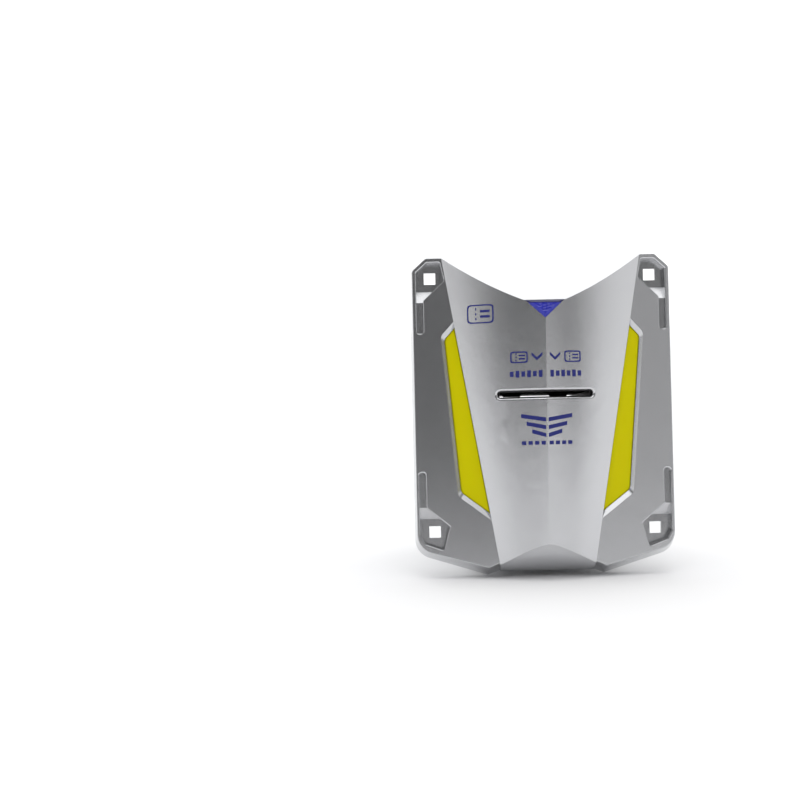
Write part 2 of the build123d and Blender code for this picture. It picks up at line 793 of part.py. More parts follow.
# Side frames
idler_y = drive_y + gear_module * (drive_teeth + idler_teeth) / 2 * sin(radians(idler_turn))
idler_z = drive_z - gear_module * (drive_teeth + idler_teeth) / 2 * cos(radians(idler_turn))
motor_reach = gear_module * (idler_teeth + pinion_teeth) / 2
motor_y = idler_y + motor_reach * cos(radians(motor_turn))
motor_z = idler_z + motor_reach * sin(radians(motor_turn))
ear_places = [nozzle_cap_end - ear_depth, guide_end - 2 * ear_depth]
ear_z = floor_z - ear_height
guide_screw_z = ear_z + ear_height / 2
guide_screw_y = [ear_places[0] + 2.2, ear_places[1] + ear_depth / 2]
tray_screw_y = [14.0, 58.0]
tray_screw_z = frame_bottom + sheet + tray_flange / 2
bush_radius = shaft_radius + 1.8
motor_screw_reach = 9.8
frame_points = [
    (sheet, frame_bottom), (frame_rear, frame_bottom), (frame_rear, hinge_z + 2),
    (hinge_y + 4, hinge_z + 8), (hinge_y - 8, hinge_z + 8), (22, frame_top - 4), (14, frame_top),
    (sheet, frame_top),
]


def side_frame(driven):
    """Right side frame with its front flange. The driven one also has the gear and motor holes."""
    plate = slab_x(frame_points, frame_half_width, frame_outer)
    tab = block(frame_outer, frame_outer + front_flange, sheet, 2 * sheet, bracket_bottom + 1, frame_top)
    plate = plate + tab
    holes = [(drive_y, drive_z, bush_radius + 0.05), (hinge_y, hinge_z, pin_radius + 0.05)]
    holes += [(y, guide_screw_z, screw_radius + 0.1) for y in guide_screw_y]
    holes += [(y, tray_screw_z, screw_radius + 0.1) for y in tray_screw_y]
    if driven:
        holes += [(motor_y, motor_z, 4.1), (idler_y, idler_z, 2.05)]
        for side in (-1, 1):
            holes.append((motor_y + side * motor_screw_reach, motor_z, screw_radius + 0.1))
    for y, z, radius in holes:
        plate = plate - rod_x(frame_half_width - 5, frame_outer + 1, y, z, radius)
    for z in flange_screws:
        plate = plate - rod_y(0, 5, flange_x, z, screw_radius + 0.1)
    return plate


right_side_frame = side_frame(True)
left_side_frame = mirrored(side_frame(False))

# Base tray with a rear wall
rear_wall_y = frame_rear - sheet
base_tray = block(-frame_half_width, frame_half_width, 4, frame_rear, frame_bottom, frame_bottom + sheet)
base_tray = base_tray + block(
    -frame_half_width, frame_half_width, rear_wall_y, frame_rear, frame_bottom, rear_wall_top,
)
tray_screws = []
for side in (-1, 1):
    inner, outer = side * (frame_half_width - sheet), side * frame_half_width
    low, high = min(inner, outer), max(inner, outer)
    base_tray = base_tray + block(low, high, 6, 68, frame_bottom, frame_bottom + sheet + tray_flange)
    for y in tray_screw_y:
        base_tray = base_tray - rod_x(low - 1, high + 1, y, tray_screw_z, screw_radius + 0.05)
        place = (side * frame_outer, y, tray_screw_z)
        tray_screws.append(screw_facing(place, (side, 0, 0), 2 * sheet + 0.6))

# Control board on its standoffs, with the parts it carries
board_y = rear_wall_y - board_rear_gap - board_length
board_z = frame_bottom + sheet + standoff_height
control_board = block(
    -board_width / 2, board_width / 2, board_y, board_y + board_length, board_z, board_z + board_thickness,
)
standoffs, board_screws = [], []
board_hole_x = board_width / 2 - board_hole_inset
for x in (-board_hole_x, board_hole_x):
    for y in (board_y + board_hole_inset, board_y + board_length - board_hole_inset):
        control_board = control_board - rod_z(board_z - 1, board_z + 3, x, y, screw_radius + 0.1)
        foot = board_z - standoff_height
        hexagon = Plane.XY.offset(foot) * Pos(x, y) * RegularPolygon(standoff_radius, 6)
        post = extrude(hexagon, standoff_height)
        standoffs.append(post - rod_z(foot - 1, board_z + 1, x, y, screw_radius + 0.05))
        place = (x, y, board_z + board_thickness)
        board_screws.append(screw_facing(place, (0, 0, 1), board_thickness + standoff_height - 1))
board_top = board_z + board_thickness
connector_right = board_hole_x - screw_head_radius - connector_gap
connector_left = connector_right - connector_width
connector_shell = block(
    connector_left, connector_right,
    rear_wall_y - connector_depth, frame_rear + connector_proud, board_top, board_top + connector_height,
)
socket_floor = rear_wall_y - connector_depth + 4 * connector_wall
connector_shell = connector_shell - block(
    connector_left + connector_wall, connector_right - connector_wall,
    socket_floor, frame_rear + 2 * connector_proud,
    board_top + connector_wall, board_top + connector_height - connector_wall,
)
connector_pins = []
pin_count = 6
pin_end = rear_wall_y - 0.8 * pin_side
for i in range(pin_count):
    x = (connector_left + connector_right) / 2 + (i - (pin_count - 1) / 2) * pin_pitch
    middle_z = board_top + connector_height / 2
    pin = socket_floor, pin_end, middle_z - pin_side / 2, middle_z + pin_side / 2
    connector_pins.append(block(x - pin_side / 2, x + pin_side / 2, *pin))
base_tray = base_tray - block(
    connector_left - fit_gap, connector_right + fit_gap,
    rear_wall_y - 1, frame_rear + 1, board_top - fit_gap, board_top + connector_height + fit_gap,
)
relay_left = relay_edge - board_width / 2
relay_right = relay_left + relay_width
large_right = board_width / 2 - relay_edge
large_left = large_right - large_chip_width
front_row = board_y + parts_row
capacitor_x = connector_left - capacitor_gap - capacitor_radius
board_parts = [
    block(
        relay_right + small_chip_gap, large_left - chip_gap, front_row, front_row + small_chip_length,
        board_top, board_top + small_chip_height,
    ),
    block(
        large_left, large_right, front_row - 1, front_row - 1 + large_chip_length,
        board_top, board_top + large_chip_height,
    ),
    block(relay_left, relay_right, front_row, front_row + relay_length, board_top, board_top + relay_height),
    rod_z(board_top, board_top + capacitor_height, capacitor_x, board_y + capacitor_row, capacitor_radius),
]

# Feed button in the rear wall
button_x, button_z = button_inset - frame_half_width, rear_wall_top - button_drop
barrel_radius = button_radius + barrel_wall
barrel_start, barrel_end = rear_wall_y - barrel_length, frame_rear + barrel_proud
base_tray = base_tray - rod_y(rear_wall_y - 1, frame_rear + 1, button_x, button_z, barrel_radius + 0.1)
button_barrel = rod_y(barrel_start, barrel_end, button_x, button_z, barrel_radius)
flange_run = frame_rear, frame_rear + barrel_flange
button_barrel = button_barrel + rod_y(*flange_run, button_x, button_z, barrel_radius + barrel_wall)
bore = rod_y(barrel_start + barrel_wall, barrel_end + 1, button_x, button_z, button_radius + running_gap)
button_barrel = button_barrel - bore
nut_face = front_plane(rear_wall_y) * Pos(button_x, button_z) * RegularPolygon(barrel_radius + nut_reach, 6)
nut_bore = rod_y(barrel_start, frame_rear, button_x, button_z, barrel_radius + 0.05)
button_nut = extrude(nut_face, nut_height) - nut_bore
cap_start, cap_end = barrel_start + barrel_wall + button_travel + fit_gap, barrel_end + button_travel + 0.6
feed_button = rod_y(cap_start, cap_end, button_x, button_z, button_radius)
feed_button = fillet(feed_button.edges().sort_by(Axis.Y)[-1], 0.6)

# Lower ticket guide with its nozzle, rails, ears and curved entry
guide_bottom = floor_z - guide_floor
nozzle_space = Pos(0, nozzle_gap, 0) * hollow
nozzle_reach = block(-40, 40, -30, 0.8, -20, 30)
lower_guide = block(-guide_half, guide_half, -30, guide_end, guide_bottom, floor_z)
for side in (-1, 1):
    low, high = min(side * channel_half, side * guide_half), max(side * channel_half, side * guide_half)
    lower_guide = lower_guide + block(low, high, -30, guide_end, guide_bottom, ceiling_z)


def behind_the_slot(solid):
    """A guide with its front end following the inside of the faceplate."""
    return (solid & nozzle_reach & nozzle_space) + (solid - block(-40, 40, -40, 0.8, -20, 30))


lower_guide = behind_the_slot(lower_guide)
for y in ear_places:
    ear = block(-frame_half_width, frame_half_width, y, y + ear_depth, ear_z, floor_z)
    lower_guide = lower_guide + ear
cap_screw_x = guide_half + 2.0
cap_screw_y = ear_places[0] + ear_depth - 2.3
for side in (-1, 1):
    low, high = sorted((side * (guide_half - 1), side * (cap_screw_x + 3)))
    pad = ear_places[0] + 3, ear_places[0] + ear_depth
    lower_guide = lower_guide + block(low, high, *pad, ear_z, ceiling_z)
entry_centre_z = floor_z - entry_radius
entry_outer = CenterArc((guide_end, entry_centre_z), entry_radius, 20, 70)
entry_inner = CenterArc((guide_end, entry_centre_z), entry_radius - guide_floor, 20, 70)
entry_ends = [Line(entry_outer @ share, entry_inner @ share) for share in (0, 1)]
entry_face = make_face([entry_outer, entry_inner] + entry_ends)
lower_guide = lower_guide + extrude(side_plane(-guide_half) * entry_face, 2 * guide_half)
roller_places = (-roller_spacing / 2, roller_spacing / 2)
for x in roller_places:
    half, reach = drive_roller_width / 2 + 0.7, drive_roller_radius
    opening = drive_y - reach, drive_y + reach, guide_bottom - 1, floor_z + 0.5
    lower_guide = lower_guide - block(x - half, x + half, *opening)
sensor_y = drive_y + sensor_setback
sensor_z = guide_bottom - sensor_drop
eye_x, eye_y = eye_half_width + eye_play, eye_half_length + eye_play
eye_hole = block(-eye_x, eye_x, sensor_y - eye_y, sensor_y + eye_y, guide_bottom - 1, floor_z + 1)
lower_guide = lower_guide - eye_hole
for side in (-1, 1):
    boss_place = side * sensor_boss_x, sensor_y
    lower_guide = lower_guide + rod_z(sensor_z, guide_bottom + 0.5, *boss_place, sensor_boss_radius)
    lower_guide = lower_guide - rod_z(sensor_z - 1, guide_bottom, *boss_place, small_screw + 0.05)
guide_screws = []
screw_run = frame_outer - cap_screw_x - screw_radius - 0.7
for side in (-1, 1):
    for y in guide_screw_y:
        low, high = sorted((side * (frame_outer - screw_run - 0.3), side * (frame_half_width + 1)))
        lower_guide = lower_guide - rod_x(low, high, y, guide_screw_z, screw_radius + 0.05)
        guide_screws.append(screw_facing((side * frame_outer, y, guide_screw_z), (side, 0, 0), screw_run))
    pilot = rod_z(ear_z + 0.5, ceiling_z + 1, side * cap_screw_x, cap_screw_y, screw_radius + 0.05)
    lower_guide = lower_guide - pilot

# Ticket sensor board under the guide
sensor_board = block(
    -sensor_half_width, sensor_half_width, sensor_y - sensor_half_length, sensor_y + sensor_half_length,
    sensor_z - board_thickness, sensor_z,
)
sensor_screws = []
for side in (-1, 1):
    sensor_hole = rod_z(sensor_z - 5, sensor_z + 1, side * sensor_boss_x, sensor_y, small_screw + 0.15)
    sensor_board = sensor_board - sensor_hole
    place = (side * sensor_boss_x, sensor_y, sensor_z - board_thickness)
    upside_down = Plane(origin=place, x_dir=(1, 0, 0), z_dir=(0, 0, -1))
    sensor_screws.append(upside_down * screw(sensor_screw_length, small_screw, small_head))
sensor_eye = block(
    -eye_half_width, eye_half_width, sensor_y - eye_half_length, sensor_y + eye_half_length,
    sensor_z, floor_z - eye_play,
)

# Nozzle cap over the front of the guide
nozzle_cap = behind_the_slot(
    block(-guide_half, guide_half, -30, nozzle_cap_end, ceiling_z, ceiling_z + guide_cap)
)
cap_screws = []
for side in (-1, 1):
    low, high = sorted((side * (guide_half - 1), side * (cap_screw_x + 3)))
    nozzle_cap = nozzle_cap + block(
        low, high, ear_places[0] + 3, ear_places[0] + ear_depth, ceiling_z, ceiling_z + guide_cap,
    )
    cap_hole = rod_z(ceiling_z - 1, ceiling_z + 9, side * cap_screw_x, cap_screw_y, screw_radius + 0.1)
    nozzle_cap = nozzle_cap - cap_hole
    place = (side * cap_screw_x, cap_screw_y, ceiling_z + guide_cap)
    cap_screws.append(screw_facing(place, (0, 0, 1), guide_cap + ceiling_z - ear_z - 1.2))

# Drive shaft, hubs, tyres, bushes and clips
gear_end = gear_x + gear_width
clip_width = 0.8
groove_radius = shaft_radius - 0.5
left_clip_x = -frame_outer - 1.6 - clip_width
right_clip_x = gear_end + 0.2
drive_shaft = rod_x(left_clip_x - 1, right_clip_x + clip_width + 1, drive_y, drive_z, shaft_radius)
for x in (left_clip_x, right_clip_x):
    groove = rod_x(x - 0.05, x + clip_width + 0.05, drive_y, drive_z, shaft_radius + 1)
    drive_shaft = drive_shaft - (groove - rod_x(x - 1, x + 2, drive_y, drive_z, groove_radius))


def retaining_clip(x, y, z, inner):
    """Open retaining clip square to X, round a groove of the given radius."""
    ring = rod_x(x, x + clip_width, y, z, inner + 1.9) - rod_x(x - 1, x + 2, y, z, inner + 0.03)
    return ring - block(x - 1, x + 2, y - inner * 0.8, y + inner * 0.8, z, z + 10)


drive_clips = [retaining_clip(x, drive_y, drive_z, groove_radius) for x in (left_clip_x, right_clip_x)]
drive_hubs, drive_tyres, shaft_bushes = [], [], []
for x in roller_places:
    start, end = x - drive_roller_width / 2, x + drive_roller_width / 2
    hub = rod_x(start, end, drive_y, drive_z, roller_hub_radius)
    drive_hubs.append(hub - rod_x(start - 1, end + 1, drive_y, drive_z, shaft_radius + 0.02))
    tyre = rod_x(start, end, drive_y, drive_z, drive_roller_radius)
    drive_tyres.append(tyre - rod_x(start - 1, end + 1, drive_y, drive_z, roller_hub_radius + 0.02))
for side in (-1, 1):
    inner, outer = side * (frame_half_width - 1.2), side * (frame_outer + 0.5)
    low, high = sorted((inner, outer))
    flange_low, flange_high = sorted((inner, side * frame_half_width))
    bush = rod_x(low, high, drive_y, drive_z, bush_radius)
    bush = bush + rod_x(flange_low, flange_high, drive_y, drive_z, bush_radius + 1.8)
    shaft_bushes.append(bush - rod_x(low - 1, high + 1, drive_y, drive_z, shaft_radius + running_gap))


# Gears
def gear_profile(teeth, turn):
    """Spur gear outline with involute flanks, its first tooth turned from the Y axis."""
    pitch = gear_module * teeth / 2
    tip, root = pitch + gear_module * 0.95, pitch - gear_module * 1.2
    pressure = radians(20)
    base = pitch * cos(pressure)
    thickness = pi / (2 * teeth) - gear_backlash / (2 * pitch)
    points = []
    for tooth in range(teeth):
        centre = radians(turn) + 2 * pi * tooth / teeth
        flank = []
        for share in (0, 0.35, 0.7, 1):
            radius = max(base, root) + (tip - max(base, root)) * share
            angle = atan2(sqrt(max(radius**2 - base**2, 0)), base)
            lean = thickness + (tan(pressure) - pressure) - (tan(angle) - angle)
            flank.append((radius, lean))
        outline = [(root, flank[0][1])] + flank if root < base else flank
        for radius, lean in outline:
            points.append((radius * cos(centre - lean), radius * sin(centre - lean)))
        for radius, lean in reversed(outline):
            points.append((radius * cos(centre + lean), radius * sin(centre + lean)))
    return make_face(Polyline(*points, close=True))


def gear(teeth, turn, y, z, bore, hub_radius, hub_start):
    """Spur gear on an axis along X, with a hub towards the side frame."""
    disc = extrude(side_plane(gear_x) * Pos(y, z) * gear_profile(teeth, turn), gear_width)
    disc = disc + rod_x(hub_start, gear_x + 0.5, y, z, hub_radius)
    return disc - rod_x(hub_start - 1, gear_end + 1, y, z, bore)


# Teeth mesh where the line of centres meets both pitch circles
drive_to_idler = degrees(atan2(idler_z - drive_z, idler_y - drive_y))
idler_phase = drive_to_idler + 180 + 180 / idler_teeth
idler_to_motor = degrees(atan2(motor_z - idler_z, motor_y - idler_y))
steps = (idler_to_motor - idler_phase) / (360 / idler_teeth)
pinion_phase = idler_to_motor + 180 + 180 / pinion_teeth + (steps - round(steps)) * 360 / pinion_teeth
drive_gear = gear(drive_teeth, drive_to_idler, drive_y, drive_z, shaft_radius + 0.02, 4.6, frame_outer + 1.0)
idler_gear = gear(idler_teeth, idler_phase, idler_y, idler_z, 2.0 + running_gap, 4.2, frame_outer + 0.3)
motor_pinion = gear(pinion_teeth, pinion_phase, motor_y, motor_z, 1.52, 3.4, frame_outer + 0.8)
idler_stud = rod_x(frame_half_width - 1.2, gear_end + 2, idler_y, idler_z, 2.0)
idler_stud = idler_stud + rod_x(frame_half_width - 1.2, frame_half_width, idler_y, idler_z, 3.6)
stud_groove = rod_x(right_clip_x - 0.05, right_clip_x + clip_width + 0.05, idler_y, idler_z, 3)
idler_stud = idler_stud - (stud_groove - rod_x(right_clip_x - 1, right_clip_x + 2, idler_y, idler_z, 1.6))
idler_clip = retaining_clip(right_clip_x, idler_y, idler_z, 1.6)

# Gear motor
gearbox = rod_x(frame_half_width - gearbox_length, frame_half_width, motor_y, motor_z, gearbox_radius)
gearbox = gearbox + rod_x(frame_half_width - 1, frame_outer, motor_y, motor_z, 4.0)
bore_run = frame_half_width - gearbox_bore, frame_outer + 1
gearbox = gearbox - rod_x(*bore_run, motor_y, motor_z, 1.5 + running_gap)
motor_shaft = rod_x(frame_half_width - motor_shaft_reach, gear_end + 0.5, motor_y, motor_z, 1.5)
motor_start = frame_half_width - gearbox_length - motor_length
motor_can = rod_x(motor_start, frame_half_width - gearbox_length, motor_y, motor_z, motor_radius)
motor_can = fillet(motor_can.edges().sort_by(Axis.X)[0], 1.5)
motor_can = motor_can + rod_x(motor_start - 2, motor_start + 1, motor_y, motor_z, 4.5)
motor_screws = []
for side in (-1, 1):
    y = motor_y + side * motor_screw_reach
    gearbox = gearbox - rod_x(frame_half_width - 6, frame_half_width + 1, y, motor_z, screw_radius + 0.05)
    motor_screws.append(screw_facing((frame_outer, y, motor_z), (1, 0, 0), motor_screw_length, 2.5))

# Lift-up cover, its hinge barrel and its bridge over the pinch arm
plate_z = ceiling_z + cover_gap
plate_top = plate_z + cover_plate
cover_front = nozzle_cap_end + 0.6
arm_reach = drive_y - arm_pivot_y
arm_angle = degrees(atan2(pinch_z - arm_pivot_z, arm_reach))
web_start, web_end = arm_pivot_y - web_near, arm_pivot_y - web_far
web_y = (web_start + web_end) / 2
web_top = arm_pivot_z + (pinch_z - arm_pivot_z) * (web_y - arm_pivot_y) / arm_reach + arm_height / 2
bridge_z = web_top + spring_length
cover_top = bridge_z + bridge_thickness
guide_cover = block(-guide_half, guide_half, cover_front, hinge_y - 7, plate_z, plate_top)
wall_points = [
    (cover_front, plate_z), (hinge_y - 7, plate_z), (hinge_y, hinge_z - hinge_radius),
    (hinge_y, hinge_z + hinge_radius), (web_end + 4, cover_top), (web_start - 2, cover_top),
    (cover_front + 4, plate_top + 4), (cover_front, plate_top + 2),
]
for side in (-1, 1):
    low, high = sorted((side * (guide_half - cover_wall), side * guide_half))
    guide_cover = guide_cover + slab_x(wall_points, low, high)
barrel_half = frame_half_width - fit_gap
guide_cover = guide_cover + rod_x(-barrel_half, barrel_half, hinge_y, hinge_z, hinge_radius)
guide_cover = guide_cover + block(-guide_half, guide_half, web_start, web_end, bridge_z, cover_top)
guide_cover = guide_cover - rod_x(-40, 40, hinge_y, hinge_z, pin_radius + running_gap)
guide_cover = guide_cover - rod_x(-40, 40, arm_pivot_y, arm_pivot_z, pin_radius + 0.02)
for x in roller_places:
    half = pinch_roller_width / 2 + 0.7
    reach = pinch_roller_radius + fit_gap
    opening = drive_y - reach, drive_y + reach, plate_z - 1, plate_top + 1
    guide_cover = guide_cover - block(x - half, x + half, *opening)
for x in (-spring_spacing / 2, spring_spacing / 2):
    peg_radius = spring_radius - spring_wall - 0.15
    guide_cover = guide_cover + rod_z(bridge_z - 1.6, bridge_z + 0.5, x, web_y, peg_radius)
hinge_pin = rod_x(-frame_outer - 1.5, frame_outer + 1.5, hinge_y, hinge_z, pin_radius)
pin_head = -frame_outer - fit_gap
hinge_pin = hinge_pin + rod_x(pin_head - 2.4, pin_head, hinge_y, hinge_z, pin_radius + 1.3)
pin_clip = rod_x(-pin_head, -pin_head + clip_width, hinge_y, hinge_z, pin_radius + 1.3)
pin_clip = pin_clip - rod_x(frame_outer, frame_outer + 3, hinge_y, hinge_z, pin_radius + 0.02)
arm_pin = rod_x(-guide_half + 0.1, guide_half - 0.1, arm_pivot_y, arm_pivot_z, pin_radius)

# Pinch arm, its shaft, hubs and tyres
arm_inner = roller_spacing / 2 + pinch_roller_width / 2 + 1.2
arm_outer = arm_inner + arm_thickness
arm_place = Pos((drive_y + arm_pivot_y) / 2, (pinch_z + arm_pivot_z) / 2) * Rot(0, 0, arm_angle)
arm_face = arm_place * SlotCenterToCenter(hypot(arm_reach, pinch_z - arm_pivot_z), arm_height)
pinch_arm = block(-arm_outer, arm_outer, web_start, web_end, web_top - arm_thickness, web_top)
for x in (-arm_outer, arm_inner):
    pinch_arm = pinch_arm + extrude(side_plane(x) * arm_face, arm_thickness)
pinch_arm = pinch_arm - rod_x(-40, 40, arm_pivot_y, arm_pivot_z, pin_radius + running_gap)
pinch_arm = pinch_arm - rod_x(-40, 40, drive_y, pinch_z, pinch_shaft_radius + running_gap)
pinch_springs = []
for x in (-spring_spacing / 2, spring_spacing / 2):
    spring = rod_z(web_top, bridge_z, x, web_y, spring_radius)
    pinch_springs.append(spring - rod_z(web_top - 1, bridge_z + 1, x, web_y, spring_radius - spring_wall))
pinch_clip_x = arm_outer + 0.2
pinch_shaft = rod_x(-pinch_clip_x - 1.4, pinch_clip_x + 1.4, drive_y, pinch_z, pinch_shaft_radius)
pinch_hubs, pinch_tyres, pinch_clips = [], [], []
for x in roller_places:
    start, end = x - pinch_roller_width / 2, x + pinch_roller_width / 2
    hub = rod_x(start, end, drive_y, pinch_z, pinch_hub_radius)
    pinch_hubs.append(hub - rod_x(start - 1, end + 1, drive_y, pinch_z, pinch_shaft_radius + 0.02))
    tyre = rod_x(start, end, drive_y, pinch_z, pinch_roller_radius)
    pinch_tyres.append(tyre - rod_x(start - 1, end + 1, drive_y, pinch_z, pinch_hub_radius + 0.02))
for side in (-1, 1):
    low, high = sorted((side * pinch_clip_x, side * (pinch_clip_x + clip_width)))
    collar = rod_x(low, high, drive_y, pinch_z, pinch_shaft_radius + 1.1)
    pinch_clips.append(collar - rod_x(low - 1, high + 1, drive_y, pinch_z, pinch_shaft_radius + 0.02))

nodes = {
    "faceplate": faceplate,
    "right_light_panel": right_light_panel,
    "left_light_panel": left_light_panel,
    "right_strip_board": strip_board,
    "left_strip_board": mirrored(strip_board),
    "strip_leds": strip_leds,
    "strip_screws": strip_screws,
    "jewel_lens": jewel_lens,
    "jewel_lamp": jewel_lamp,
    "lamp_board": lamp_board,
    "lamp_screws": lamp_screws,
    "front_bracket": bracket,
    "chassis_screws": chassis_screws,
    "frame_screws": frame_screws,
    "right_side_frame": right_side_frame,
    "left_side_frame": left_side_frame,
    "base_tray": base_tray,
    "tray_screws": tray_screws,
    "control_board": control_board,
    "board_standoffs": standoffs,
    "board_screws": board_screws,
    "board_parts": board_parts,
    "connector_shell": connector_shell,
    "connector_pins": connector_pins,
    "button_barrel": button_barrel,
    "button_nut": button_nut,
    "feed_button": feed_button,
    "lower_guide": lower_guide,
    "nozzle_cap": nozzle_cap,
    "cap_screws": cap_screws,
    "guide_screws": guide_screws,
    "sensor_board": sensor_board,
    "sensor_eye": sensor_eye,
    "sensor_screws": sensor_screws,
    "drive_shaft": drive_shaft,
    "drive_hubs": drive_hubs,
    "drive_tyres": drive_tyres,
    "drive_clips": drive_clips,
    "shaft_bushes": shaft_bushes,
    "drive_gear": drive_gear,
    "idler_gear": idler_gear,
    "idler_stud": idler_stud,
    "idler_clip": idler_clip,
    "motor_pinion": motor_pinion,
    "motor_shaft": motor_shaft,
    "gearbox": gearbox,
    "motor_can": motor_can,
    "motor_screws": motor_screws,
    "guide_cover": guide_cover,
    "hinge_pin": hinge_pin,
    "pin_clip": pin_clip,
    "arm_pin": arm_pin,
    "pinch_arm": pinch_arm,
    "pinch_springs": pinch_springs,
    "pinch_shaft": pinch_shaft,
    "pinch_hubs": pinch_hubs,
    "pinch_tyres": pinch_tyres,
    "pinch_clips": pinch_clips,
}

os.makedirs("parts", exist_ok=True)
for name, shape in nodes.items():
    group = Compound(children=shape) if isinstance(shape, list) else shape
    export_step(group, f"parts/{name}.step")
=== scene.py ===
"""Looks of the ticket dispenser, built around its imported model.

The frame is the model's own: X to the right as seen from the front, Y back, Z up, in metres.
Sizes of pieces are given in millimetres, as a drawing has them, and MM turns them into metres.
"""

import json
import logging
from dataclasses import dataclass, field
from enum import Enum
from math import atan, cos, hypot, pi, radians, sin

import bmesh
import bpy
import numpy as np
from mathutils import Matrix, Vector
from numpy.typing import NDArray


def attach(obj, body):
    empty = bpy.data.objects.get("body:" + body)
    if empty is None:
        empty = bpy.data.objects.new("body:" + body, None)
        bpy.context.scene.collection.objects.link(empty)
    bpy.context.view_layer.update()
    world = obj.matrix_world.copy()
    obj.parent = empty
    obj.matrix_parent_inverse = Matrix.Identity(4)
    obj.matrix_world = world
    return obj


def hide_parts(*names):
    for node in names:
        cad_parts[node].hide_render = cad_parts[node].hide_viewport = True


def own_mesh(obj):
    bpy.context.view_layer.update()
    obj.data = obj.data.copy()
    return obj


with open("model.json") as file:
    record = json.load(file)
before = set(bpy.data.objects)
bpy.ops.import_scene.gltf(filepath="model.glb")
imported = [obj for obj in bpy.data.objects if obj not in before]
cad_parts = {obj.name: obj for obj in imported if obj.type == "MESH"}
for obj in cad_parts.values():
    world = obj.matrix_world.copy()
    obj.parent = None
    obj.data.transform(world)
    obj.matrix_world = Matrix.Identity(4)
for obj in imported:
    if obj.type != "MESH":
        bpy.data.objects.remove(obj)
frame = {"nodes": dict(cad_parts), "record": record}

MM = 0.001
SHARP_ANGLE = radians(32)

Array = NDArray[np.float64]
Colour = tuple[float, float, float]
Point = tuple[float, float, float]

log = logging.getLogger("ticket_dispenser")


class Body(Enum):
    """The bodies that pieces ride on."""

    ROOT = "root"
    DRIVE = "drive"
    COVER = "cover"
    PINCH = "pinch"


class Slot(Enum):
    """The record's material slots."""

    SILVER_PAINT = "silver_paint"
    YELLOW_PANEL = "yellow_panel"
    BLUE_LENS = "blue_lens"
    BOARD_GREEN = "board_green"
    LED_WHITE = "led_white"
    ZINC_SCREW = "zinc_screw"
    ZINC_SHEET = "zinc_sheet"
    BLACK_PLASTIC = "black_plastic"
    BRIGHT_STEEL = "bright_steel"
    SPRING_STEEL = "spring_steel"
    FEED_RUBBER = "feed_rubber"
    WHITE_NYLON = "white_nylon"
    BRONZE = "bronze"
    CONTACT_BRASS = "contact_brass"
    MOTOR_STEEL = "motor_steel"
    ARM_STEEL = "arm_steel"
    BUTTON_RED = "button_red"


def linear(red: int, green: int, blue: int) -> Colour:
    """Turn a screen colour of 0 to 255 into a shader's linear values.

    A channel c of 0 to 1 becomes c / 12.92 below 0.04045, and ((c + 0.055) / 1.055) ** 2.4 above.

    Args:
        red: Red channel.
        green: Green channel.
        blue: Blue channel.

    Returns:
        The three linear channels.
    """
    channels = np.array([red, green, blue]) / 255
    low = channels / 12.92
    high = ((channels + 0.055) / 1.055) ** 2.4
    return tuple(np.where(channels < 0.04045, low, high).tolist())


def scaled(colour: Colour, factor: float, lift: float = 0.0) -> Colour:
    """Return a colour times a factor plus a lift, held at 1."""
    return tuple(min(channel * factor + lift, 1) for channel in colour)


class Nodes:
    """A node tree, laid down through short calls."""

    def __init__(self, tree: bpy.types.NodeTree) -> None:
        """Start on a tree."""
        self.tree = tree

    def add(self, kind: str, inputs: dict, **settings: object) -> bpy.types.Node:
        """Add a node.

        Args:
            kind: The node's type.
            inputs: Values or sockets for its inputs, by name or number.
            settings: The node's own settings.

        Returns:
            The node.
        """
        node = self.tree.nodes.new(kind)
        for key, value in settings.items():
            setattr(node, key, value)
        for key, value in inputs.items():
            self.feed(node.inputs[key], value)
        return node

    def feed(self, socket: bpy.types.NodeSocket, value: object) -> None:
        """Link a socket to another one, or set its value.

        Args:
            socket: The socket that is fed.
            value: An output socket, or a plain value.
        """
        if isinstance(value, bpy.types.NodeSocket):
            self.tree.links.new(value, socket)
        else:
            socket.default_value = value


